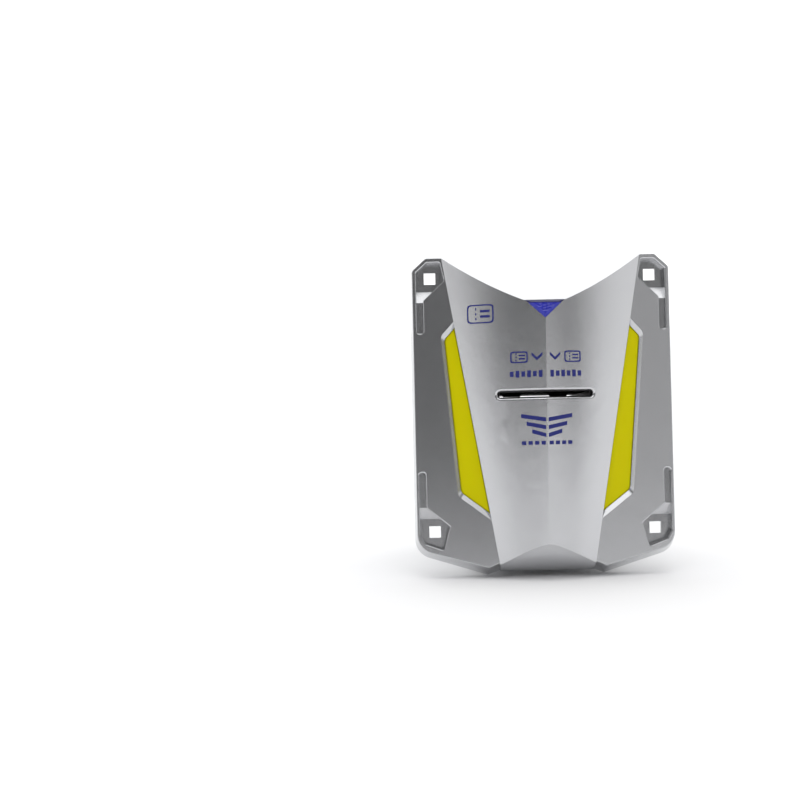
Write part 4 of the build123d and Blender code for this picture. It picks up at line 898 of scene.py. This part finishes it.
@dataclass
class Chin:
    """The prism's curved chin, cut out of a copy of the faceplate and closed by its own wall."""

    face: PrismFace = field(default_factory=PrismFace)
    apex_z: float = -56.5
    foot: tuple[float, float] = (-5.6, -68.0)
    bulge: float = 1.5
    half_width: float = 19.4
    wall: float = 2.0
    proud: float = 0.03
    back_share: float = 0.9
    tip: float = 0.02
    reach: float = 60.0
    drop: float = 20.0
    rows: int = 32
    columns: int = 41
    merge: float = 0.001
    patch_name: str = "patch_number"

    def arc(self, apex: bool) -> Array:
        """Give Y and Z along the chin's profile from its foot.

        The profile is the arc over the chord from foot to apex: with the sagitta b and chord c its
        radius is c^2 / 8b + b / 2, and its centre lies on the chord's middle, radius - b behind it.

        Args:
            apex: Whether it stops at the ridge, or goes on to its foremost point.

        Returns:
            The points, one row each.
        """
        foot = np.array(self.foot)
        top = np.array([-(self.face.ridge_depth + self.face.ridge_lean * self.apex_z), self.apex_z])
        chord = hypot(*(top - foot))
        radius = chord**2 / (8 * self.bulge) + self.bulge / 2
        behind = np.array([top[1] - foot[1], foot[0] - top[0]]) / chord
        centre = (foot + top) / 2 + behind * (radius - self.bulge)
        start, end = (np.arctan2(*(point - centre)[::-1]) % (2 * pi) for point in (foot, top))
        angle = np.linspace(start, end if apex else pi, self.rows)
        return centre + radius * np.column_stack([np.cos(angle), np.sin(angle)])

    def cutter(self) -> bpy.types.Object:
        """Make the volume under the chin, from the arc forwards and down.

        Returns:
            The volume, which is removed once it has cut.
        """
        under = self.foot[1] - self.drop
        arc = self.arc(False)
        outline = np.vstack([arc, [(-self.reach, arc[-1, 1]), (-self.reach, under), (self.foot[0], under)]])
        volume = extruded(outline, -self.half_width, self.half_width)
        return placed("chin_cutter", volume.mesh("chin_cutter", smooth=False))

    def number_faces(self, mesh: bpy.types.Mesh) -> None:
        """Number the faces by the shaded patch they belong to, before the patches are merged.

        Each vertex takes the lowest number among its neighbours until none changes, so that a
        patch of joined faces ends with one number.

        Args:
            mesh: The mesh, whose patches share no vertex.
        """
        ends = np.empty(len(mesh.edges) * 2, np.int32)
        mesh.edges.foreach_get("vertices", ends)
        first, second = ends.reshape(-1, 2).T
        label = np.arange(len(mesh.vertices))
        settled = False
        while not settled:
            lowest = label.copy()
            np.minimum.at(lowest, first, label[second])
            np.minimum.at(lowest, second, label[first])
            lowest = lowest[lowest]
            settled = bool((lowest == label).all())
            label = lowest
        corners = np.empty(len(mesh.loops), np.int32)
        mesh.loops.foreach_get("vertex_index", corners)
        starts = np.empty(len(mesh.polygons), np.int32)
        mesh.polygons.foreach_get("loop_start", starts)
        numbers = mesh.attributes.new(self.patch_name, "INT", "FACE")
        numbers.data.foreach_set("value", (label[corners[starts]] + 1).astype(np.int32))
        log.info("faceplate: %d shaded patches", len(np.unique(label)))

    def mark_sharp(self, mesh: bpy.types.Mesh) -> None:
        """Shade each patch by itself: edges between faces of different patches are sharp.

        Args:
            mesh: The mesh, whose faces carry their patch's number.
        """
        number = np.empty(len(mesh.polygons), np.int32)
        mesh.attributes[self.patch_name].data.foreach_get("value", number)
        totals = np.empty(len(mesh.polygons), np.int32)
        mesh.polygons.foreach_get("loop_total", totals)
        edges = np.empty(len(mesh.loops), np.int32)
        mesh.loops.foreach_get("edge_index", edges)
        of_corner = np.repeat(number, totals)
        lowest = np.full(len(mesh.edges), np.iinfo(np.int32).max)
        highest = np.full(len(mesh.edges), -1)
        np.minimum.at(lowest, edges, of_corner)
        np.maximum.at(highest, edges, of_corner)
        sharp = mesh.attributes.get("sharp_edge") or mesh.attributes.new("sharp_edge", "BOOLEAN", "EDGE")
        sharp.data.foreach_set("value", lowest != highest)

    def trimmed(self) -> None:
        """Cut the volume under the chin out of a merged copy of the faceplate."""
        node = frame["nodes"]["faceplate"]
        mesh = node.data.copy()
        mesh.transform(node.matrix_world)
        self.number_faces(mesh)
        shape = bmesh.new()
        shape.from_mesh(mesh)
        bmesh.ops.remove_doubles(shape, verts=shape.verts, dist=self.merge * MM)
        shape.to_mesh(mesh)
        shape.free()
        custom = mesh.attributes.get("custom_normal")
        if custom is not None:
            mesh.attributes.remove(custom)
        whole = placed("whole_faceplate", mesh)
        cutter = self.cutter()
        cut = whole.modifiers.new("chin", "BOOLEAN")
        cut.operation, cut.solver, cut.object = "DIFFERENCE", "EXACT", cutter
        bpy.context.view_layer.update()
        shown = whole.evaluated_get(bpy.context.evaluated_depsgraph_get())
        result = bpy.data.meshes.new_from_object(shown)
        for tool in (whole, cutter):
            bpy.data.objects.remove(tool)
        result.materials.clear()
        result.polygons.foreach_set("use_smooth", np.full(len(result.polygons), True))
        self.mark_sharp(result)
        made = dressed("trimmed_faceplate", result, SILVER, Slot.SILVER_PAINT, Body.ROOT)
        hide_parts("faceplate")

    def plate(self) -> None:
        """Make the chin's wall, which reaches on both sides to where a facet comes as far forward.

        At each height the facet's Y grows from the ridge outwards, so its half width is found by
        reading that curve backwards at the arc's Y.
        """
        arc = self.arc(True)
        share = np.linspace(0, 1, 200)
        half = []
        for y, z in arc:
            x, depth = self.face.arc(z, share)
            half.append(min(np.interp(y, depth, x), self.half_width))
        half = np.array(half)
        half[-1] = self.tip
        across = np.linspace(-1, 1, self.columns)
        x = half[:, None] * across
        front = np.stack([x, np.broadcast_to(arc[:, :1] - self.proud, x.shape),
                          np.broadcast_to(arc[:, 1:], x.shape)], axis=-1).reshape(-1, 3)
        back = front * (self.back_share, 1, 1) + (0, self.wall, 0)
        wall = closed_sheet(front, back, self.rows, self.columns)
        wall.piece("chin_wall", SILVER, Slot.SILVER_PAINT, Body.ROOT)

    def build(self) -> None:
        """Make the trimmed faceplate and the chin's wall."""
        self.trimmed()
        self.plate()


@dataclass
class JewelLens:
    """The blue lens: a three-sided stone with a bevelled rim and a cut table."""

    half_width: float = 8.0
    rise: float = 7.64
    vertex: Point = (0.0, -22.908, 33.3)
    lean: float = 14.41
    thickness: float = 1.8
    proud: float = 0.58
    fit: float = 0.1
    facet: float = 1.0
    cut_rows: int = 9
    cut_depth: float = 0.3

    def inset(self, distance: float) -> Array:
        """Give the outline's corners moved in by a distance, from the lowest one clockwise.

        The slanted sides' half angle at the foot is atan(half width / rise), and each side keeps
        its slope while it moves.

        Args:
            distance: How far each side moves in.

        Returns:
            Across and up for the three corners.
        """
        half = atan(self.half_width / self.rise)
        top = self.rise - distance
        foot = distance / sin(half)
        reach = (top - foot) * self.half_width / self.rise
        return np.array([(0, foot), (-reach, top), (reach, top)])

    def place(self, flat: Array, depth: Array | float) -> Array:
        """Carry places on the lens's plane into the frame.

        Args:
            flat: Across and up on the plane, for each place.
            depth: How far each lies behind the plane.

        Returns:
            The places in the frame.
        """
        lean = radians(self.lean)
        up = np.array([0, sin(lean), cos(lean)])
        out = np.array([0, -cos(lean), sin(lean)])
        across = np.array([1.0, 0, 0])
        height = np.broadcast_to(depth, len(flat))[:, None]
        return np.array(self.vertex) + flat[:, :1] * across + flat[:, 1:] * up - height * out

    def build(self) -> None:
        """Make the stone: back, girdle, bevel and a table of small pyramids.

        The table is a triangular lattice between its three corners. Every third point of it
        stands at the table's height and the others lie deeper, so small facets lean all ways.
        """
        corners = self.inset(self.fit + self.facet)
        rows = self.cut_rows
        spots = [(i, j) for i in range(rows + 1) for j in range(rows + 1 - i)]
        index = {spot: number for number, spot in enumerate(spots)}
        i, j = np.array(spots).T
        weights = np.column_stack([rows - i - j, i, j]) / rows
        flat = weights @ corners
        inner = (i > 0) & (j > 0) & (i + j < rows)
        depth = -self.proud + np.where(inner & ((i - j) % 3 != 0), self.cut_depth, 0)
        depth = depth + np.where(inner, 0.06 * np.sin(i * 2.3 + j * 4.1), 0)
        faces = []
        for a, b in spots:
            if a + b < rows:
                faces.append([index[a, b], index[a + 1, b], index[a, b + 1]])
            if a + b < rows - 1:
                faces.append([index[a + 1, b], index[a + 1, b + 1], index[a, b + 1]])
        table = self.place(flat, depth)
        rim = [index[k, 0] for k in range(rows)] + [index[rows - k, k] for k in range(rows)]
        rim += [index[0, rows - k] for k in range(rows)]
        outlines = []
        for distance, level in ((self.fit, 0.0), (self.fit, self.thickness)):
            outer = self.inset(distance)
            ring = weights[rim] @ outer
            outlines.append(self.place(ring, level))
        count, base = len(rim), len(table)
        chain = [rim, list(range(base, base + count)), list(range(base + count, base + 2 * count))]
        for upper, lower in zip(chain, chain[1:]):
            for k in range(count):
                following = (k + 1) % count
                faces.append([upper[k], upper[following], lower[following], lower[k]])
        faces.append(chain[-1])
        stone = Surface(np.vstack([table] + outlines), faces)
        made = stone.piece("cut_lens", LENS_BLUE, Slot.BLUE_LENS, Body.ROOT, smooth=False)
        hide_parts("jewel_lens")


@dataclass
class FeedTyre:
    """A rubber tyre with a grooved tread."""

    width: float
    radius: float
    bore: float
    ribs: int
    groove: float = 0.45
    chamfer: float = 0.5
    sides_per_rib: int = 8

    def surface(self, x: float, centre: tuple[float, float]) -> Surface:
        """Make the tyre round an axis along X.

        Round the tread the radius drops by the groove's depth, in a flat-bottomed groove that
        takes a quarter of each rib. The drop fades out at the bore.

        Args:
            x: Middle of the tyre.
            centre: Y and Z of its axis.

        Returns:
            The closed tyre.
        """
        half, edge = self.width / 2, self.chamfer
        profile = np.array([(-half, self.bore), (-half, self.radius - edge), (-half + edge, self.radius),
                            (half - edge, self.radius), (half, self.radius - edge), (half, self.bore)])
        sides = self.ribs * self.sides_per_rib
        phase = (np.arange(sides) % self.sides_per_rib) / self.sides_per_rib
        drop = np.where((phase > 0.1) & (phase < 0.45), self.groove, 0.0)
        ripple = np.zeros((sides, len(profile)))
        ripple[:, 1:5] = -drop[:, None]
        return turned(profile, (x, *centre), 0, sides, ripple)


@dataclass
class FeedRollers:
    """Both pairs of feed rollers: the driven ones below and the sprung ones above."""

    spacing: float = 20.0
    drive_axis: tuple[float, float] = (28.0, -3.9)
    pinch_axis: tuple[float, float] = (28.0, 9.4)
    drive_tyre: FeedTyre = field(default_factory=lambda: FeedTyre(9.0, 7.0, 5.02, 30))
    pinch_tyre: FeedTyre = field(default_factory=lambda: FeedTyre(8.0, 6.0, 3.42, 24, groove=0.35))

    def build(self) -> None:
        """Make the four tyres, each pair on its own body."""
        sets = [("drive_tread", self.drive_tyre, self.drive_axis, Body.DRIVE, "drive_tyres"),
                ("pinch_tread", self.pinch_tyre, self.pinch_axis, Body.PINCH, "pinch_tyres")]
        for name, tyre, axis, body, node in sets:
            pair = [tyre.surface(side * self.spacing / 2, axis) for side in (-1, 1)]
            made = join(pair).piece(name, RUBBER, Slot.FEED_RUBBER, body)
            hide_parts(node)


@dataclass
class PinchSprings:
    """The two compression springs between the cover's bridge and the pinch arm."""

    spacing: float = 18.0
    y: float = 39.0
    bottom: float = 13.6875
    top: float = 19.6875
    outer_radius: float = 2.25
    wire: float = 0.5
    turns: float = 5.5
    closed_share: float = 0.16
    steps_per_turn: int = 20
    keep: float = 0.885

    def coil(self, x: float) -> Surface:
        """Wind one spring.

        The wire's centre runs round its circle at a steady rate. It climbs little over the
        closed end turns and evenly between them, as a smooth step of the way along.

        Args:
            x: Middle of the spring.

        Returns:
            The closed wire.
        """
        share = np.linspace(0, 1, int(self.turns * self.steps_per_turn))
        lower, upper = self.bottom + self.wire / 2, self.top - self.wire / 2
        closed = self.closed_share
        climb = np.interp(share, [0, closed, 1 - closed, 1], [0, 0.1, 0.9, 1])
        angle = share * self.turns * 2 * pi
        radius = self.outer_radius - self.wire / 2
        path = np.column_stack([x + radius * np.cos(angle), self.y + radius * np.sin(angle),
                                lower + (upper - lower) * climb])
        return tube(path, self.wire / 2, 10)

    def build(self) -> None:
        """Make both springs on the cover's body; they keep their shape, though the real ones shorten as the
        arm lifts.
        """
        coils = [self.coil(side * self.spacing / 2) for side in (-1, 1)]
        made = join(coils).piece("pinch_coils", SPRING, Slot.SPRING_STEEL, Body.COVER)
        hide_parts("pinch_springs")
        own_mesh(made)


@dataclass
class ControlBoardParts:
    """What the control board carries: two chips, a relay, a capacitor and small parts round them.

    A place is its left, front, right and back edge, the depths counted from the board's own edge.
    The can's is its middle across, its depth, its radius and its height.
    """

    top: float = -55.2
    board_y: float = 48.3
    leg_width: float = 0.42
    leg_pitch: float = 1.27
    leg_reach: float = 1.0
    small_chip: tuple[float, float, float, float] = (-10.0, 3.0, 0.0, 10.0)
    small_chip_height: float = 2.2
    large_chip: tuple[float, float, float, float] = (4.0, 2.0, 17.0, 10.0)
    large_chip_height: float = 3.0
    relay: tuple[float, float, float, float] = (-17.0, 3.0, -11.0, 13.0)
    relay_height: float = 9.0
    can: tuple[float, float, float, float] = (-11.0, 17.0, 3.2, 8.0)
    small_rows: tuple[float, float] = (13.4, 15.4)
    small_pitch: float = 4.4
    small_half: float = 0.6
    end_width: float = 0.28

    def chip(self, low: tuple[float, float], high: tuple[float, float],
             height: float) -> tuple[Surface, Surface]:
        """Make a chip and its two rows of bent legs.

        Args:
            low: Lowest corner of its place.
            high: Highest corner of its place, legs left out.
            height: Its height.

        Returns:
            The body and the legs.
        """
        body = brick((low[0], low[1] + self.leg_reach, self.top + 0.2),
                     (high[0], high[1] - self.leg_reach, self.top + height), 0.25)
        dot = turned(np.array([(0, 0.05), (0, 0.4), (0.02, 0.4), (0.02, 0.05)]),
                     (low[0] + 1.1, low[1] + self.leg_reach + 1.1, self.top + height - 0.01), 2, 16)
        legs = []
        count = int((high[0] - low[0] - 1) / self.leg_pitch)
        middle = (low[0] + high[0]) / 2
        for number in range(count):
            x = middle + (number - (count - 1) / 2) * self.leg_pitch
            for edge, side in ((low[1] + self.leg_reach, -1), (high[1] - self.leg_reach, 1)):
                legs.append(self.leg(x, edge, side, height))
        return body + dot, join(legs)

    def leg(self, x: float, y: float, side: int, height: float) -> Surface:
        """Bend one leg: out of the body, down and along the board.

        The leg is a flat strip along a path of four points, carried from one face to the other.

        Args:
            x: Middle of the leg.
            y: The body's edge.
            side: Which way the leg points, -1 or 1.
            height: Height of the body.

        Returns:
            The closed leg.
        """
        level = self.top + height * 0.45
        thick = 0.16
        reach = side * self.leg_reach
        outline = np.array([(y, level), (y + reach * 0.45, level), (y + reach * 0.6, self.top + thick),
                            (y + reach, self.top + thick), (y + reach, self.top + 0.01),
                            (y + reach * 0.5, self.top + 0.01), (y + reach * 0.35, level - thick),
                            (y, level - thick)])
        return extruded(outline, x - self.leg_width / 2, x + self.leg_width / 2)

    def capacitor(self, x: float, y: float, radius: float, height: float) -> tuple[Surface, Surface]:
        """Make a capacitor: a sleeve with a crimped foot and a bare top.

        Args:
            x: Middle across.
            y: Middle in depth.
            radius: Radius of the sleeve.
            height: Height over the board.

        Returns:
            The sleeve and the bare top.
        """
        turn = np.linspace(0, pi / 2, 6)
        waist = np.linspace(0, 2 * pi, 9)
        crimp = np.column_stack([0.9 + waist / (2 * pi) * 0.9, radius - 0.16 * (1 - np.cos(waist))])
        shoulder = np.column_stack([height - 0.5 + 0.5 * np.sin(turn), radius - 0.5 + 0.5 * np.cos(turn)])
        start = np.array([(0.0, 0.05), (0.0, radius - 0.1), (0.1, radius)])
        end = np.array([(height, radius - 0.9), (height - 0.15, radius - 0.95), (height - 0.15, 0.05)])
        sleeve = turned(np.vstack([start, crimp, shoulder, end]), (x, y, self.top), 2, 36)
        lid = turned(np.array([(0, 0.03), (0, radius - 1.0), (0.06, radius - 1.0), (0.06, 0.03)]),
                     (x, y, self.top + height - 0.14), 2, 36)
        return sleeve, lid

    def build(self) -> None:
        """Make the parts, each finish as one piece."""
        y = self.board_y
        left, front, right, back = self.small_chip
        small, small_legs = self.chip((left, y + front), (right, y + back), self.small_chip_height)
        left, front, right, back = self.large_chip
        large, large_legs = self.chip((left, y + front), (right, y + back), self.large_chip_height)
        left, front, right, back = self.relay
        relay = brick((left, y + front, self.top), (right, y + back, self.top + self.relay_height), 0.4)
        x, depth, radius, height = self.can
        sleeve, lid = self.capacitor(x, y + depth, radius, height)
        made = (small + large + relay).piece("chips_and_relay", BLACK, Slot.BLACK_PLASTIC, Body.ROOT)
        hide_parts("board_parts")
        (small_legs + large_legs + lid).piece("chip_legs", SCREW_ZINC, Slot.BRIGHT_STEEL, Body.ROOT)
        sleeve.piece("capacitor", SLEEVE, Slot.BLACK_PLASTIC, Body.ROOT)
        bodies, ends = [], []
        for row, depth in enumerate(self.small_rows):
            for number in range(5):
                x = -6.0 + number * self.small_pitch + row * 1.2
                front, back = y + depth - self.small_half, y + depth + self.small_half
                bodies.append(brick((x - 0.3, front, self.top), (x + 0.3, back, self.top + 0.55)))
                for start in (x - self.small_half, x + self.small_half - self.end_width):
                    ends.append(brick((start, front - 0.02, self.top),
                                      (start + self.end_width, back + 0.02, self.top + 0.58)))
        join(bodies).piece("small_parts", BLACK, Slot.BLACK_PLASTIC, Body.ROOT)
        join(ends).piece("small_part_ends", SCREW_ZINC, Slot.BRIGHT_STEEL, Body.ROOT)


@dataclass
class MotorDetails:
    """What the gear motor's closed end carries: two solder tags and an insulating washer."""

    axis: tuple[float, float] = (32.002, -37.770)
    end_x: float = -18.0
    tag: Point = (3.2, 0.5, 2.2)
    tag_reach: float = 8.0

    def build(self) -> None:
        """Make the tags and the washer under them."""
        tags = []
        for side in (-1, 1):
            y = self.axis[0] + side * self.tag_reach
            high = (self.end_x + 0.3, y + self.tag[1] / 2, self.axis[1] + self.tag[2] / 2)
            low = (self.end_x - self.tag[0], y - self.tag[1] / 2, self.axis[1] - self.tag[2] / 2)
            tags.append(brick(low, high))
        join(tags).piece("motor_tags", BRASS, Slot.CONTACT_BRASS, Body.ROOT)
        ring = np.array([(-0.35, 4.6), (-0.35, 10.2), (-0.2, 10.4), (0.05, 10.4), (0.05, 4.6)])
        washer = turned(ring, (self.end_x, *self.axis), 0, 48)
        washer.piece("motor_washer", NYLON, Slot.WHITE_NYLON, Body.ROOT)


@dataclass
class Chassis:
    """Every piece whose shape comes from the model. It keeps its mesh and takes its slot's finish."""

    def dress(self) -> None:
        """Give each node the finish of its slot, and log how many were dressed."""
        slots = {}
        for entry in frame["record"]["subparts"]:
            slots[entry["node"]] = entry["material_slot"]
        dressed = 0
        for name, node in frame["nodes"].items():
            finish = SLOT_FINISH[Slot(slots[name])]
            node.data.materials.clear()
            node.data.materials.append(finish.material())
            dressed += 1
        log.info("%d nodes dressed", dressed)


@dataclass(frozen=True)
class SoftBox:
    """A soft patch of light, placed by its angles as seen from the unit's front."""

    right: float
    up: float
    level: float
    full: float
    fade: float

    def direction(self) -> Point:
        """Return the way from the unit to the patch: -Y is straight ahead, +X to the right."""
        right, up = radians(self.right), radians(self.up)
        return (sin(right) * cos(up), -cos(right) * cos(up), sin(up))


@dataclass
class Studio:
    """A white floor, a soft world and the camera at the photograph's place."""

    camera_place: Point = (-64.0, -615.5, -13.5)
    look: Point = (0.0095, 0.9996, 0.026)
    up: Point = (0.0216, -0.026, 0.9994)
    lens: float = 67.5
    toe: tuple[float, float] = (0.0, -69.80)
    heel: tuple[float, float] = (74.0, -62.05)
    floor_size: float = 3000.0
    fill_power: float = 0.6
    fill_place: Point = (0.1, -1.4, 0.5)
    fill_size: tuple[float, float] = (1.6, 1.2)
    even_level: float = 0.05
    boxes: tuple[SoftBox, ...] = (
        SoftBox(-78, 10, 0.95, 14, 42),
        SoftBox(80, 10, 0.95, 18, 40),
        SoftBox(26, 5, 0.4, 8, 17),
        SoftBox(0, 72, 1.6, 24, 40),
        SoftBox(0, 30, 0.2, 14, 30),
        SoftBox(180, 30, 1.3, 50, 80),
    )

    def camera(self) -> None:
        """Place the camera and make it the scene's own."""
        data = bpy.data.cameras.new("camera")
        data.lens = self.lens
        data.clip_start = 0.01
        made = placed("camera", data)
        back = -Vector(self.look).normalized()
        right = Vector(self.up).cross(back).normalized()
        turn = Matrix((right, back.cross(right), back)).transposed().to_4x4()
        made.matrix_world = Matrix.Translation(Vector(self.camera_place) * MM) @ turn
        bpy.context.scene.camera = made

    def floor(self) -> None:
        """Lay the floor under the toes and the heels, on which the unit leans back a little."""
        slope = (self.heel[1] - self.toe[1]) / (self.heel[0] - self.toe[0])
        half = self.floor_size
        corners = [(x, y, self.toe[1] + slope * (y - self.toe[0])) for x, y in
                   ((-half, -half), (half, -half), (half, half), (-half, half))]
        mesh = bpy.data.meshes.new("floor")
        mesh.from_pydata((np.array(corners) * MM).tolist(), [], [[0, 1, 2, 3]])
        made = placed("floor", mesh)
        graph = Graph("floor_white")
        graph.put(Base_Color=(0.9, 0.9, 0.91, 1), Roughness=0.9, Specular_IOR_Level=0.0)
        mesh.materials.append(graph.material)

    def world(self) -> None:
        """Light the scene from all round: an even level plus the soft boxes.

        A box adds its level inside its full angle round its direction and none past its fade angle,
        with a smooth step between them. The box behind the unit is also its white background.
        """
        world = bpy.data.worlds.new("studio")
        bpy.context.scene.world = world
        world.use_nodes = True
        sky = Nodes(world.node_tree)
        direction = sky.add("ShaderNodeTexCoord", {}).outputs["Generated"]
        total = self.even_level
        for box in self.boxes:
            ways = {0: direction, 1: box.direction()}
            lean = sky.add("ShaderNodeVectorMath", ways, operation="DOT_PRODUCT")
            span = {"Value": lean.outputs["Value"], "From Min": cos(radians(box.fade)),
                    "From Max": cos(radians(box.full)), "To Max": box.level}
            step = sky.add("ShaderNodeMapRange", span, interpolation_type="SMOOTHSTEP")
            total = sky.add("ShaderNodeMath", {0: step.outputs["Result"], 1: total}).outputs[0]
        background = sky.tree.nodes["Background"]
        sky.feed(background.inputs["Strength"], total)
        sky.feed(background.inputs["Color"], (1, 1, 1, 1))

    def fill(self) -> None:
        """Add a broad soft lamp behind the camera for what isn't metal."""
        data = bpy.data.lights.new("front_fill", "AREA")
        data.shape = "RECTANGLE"
        data.size, data.size_y = self.fill_size
        data.energy = self.fill_power
        made = placed("front_fill", data)
        made.location = self.fill_place
        made.rotation_euler = (Vector((0, 0, 0)) - made.location).to_track_quat("-Z", "Y").to_euler()
        made.visible_glossy = False

    def build(self) -> None:
        """Set up floor, light and camera."""
        self.camera()
        self.floor()
        self.world()
        self.fill()
        bpy.context.scene.view_settings.view_transform = "Standard"


def clear_startup() -> None:
    """Remove the objects that an empty file starts with."""
    for name in ("Cube", "Light", "Camera"):
        found = bpy.data.objects.get(name)
        if found is not None:
            bpy.data.objects.remove(found)


def main() -> None:
    """Dress the model, build the new pieces in order and set up the studio."""
    logging.basicConfig(level=logging.INFO, format="%(message)s")
    clear_startup()
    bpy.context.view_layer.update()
    Chassis().dress()
    parts = (Chin, FrontPrint, JewelLens, FeedRollers, PinchSprings, ControlBoardParts, MotorDetails)
    for part in parts:
        part().build()
    Studio().build()


if __name__ == "__main__":
    main()
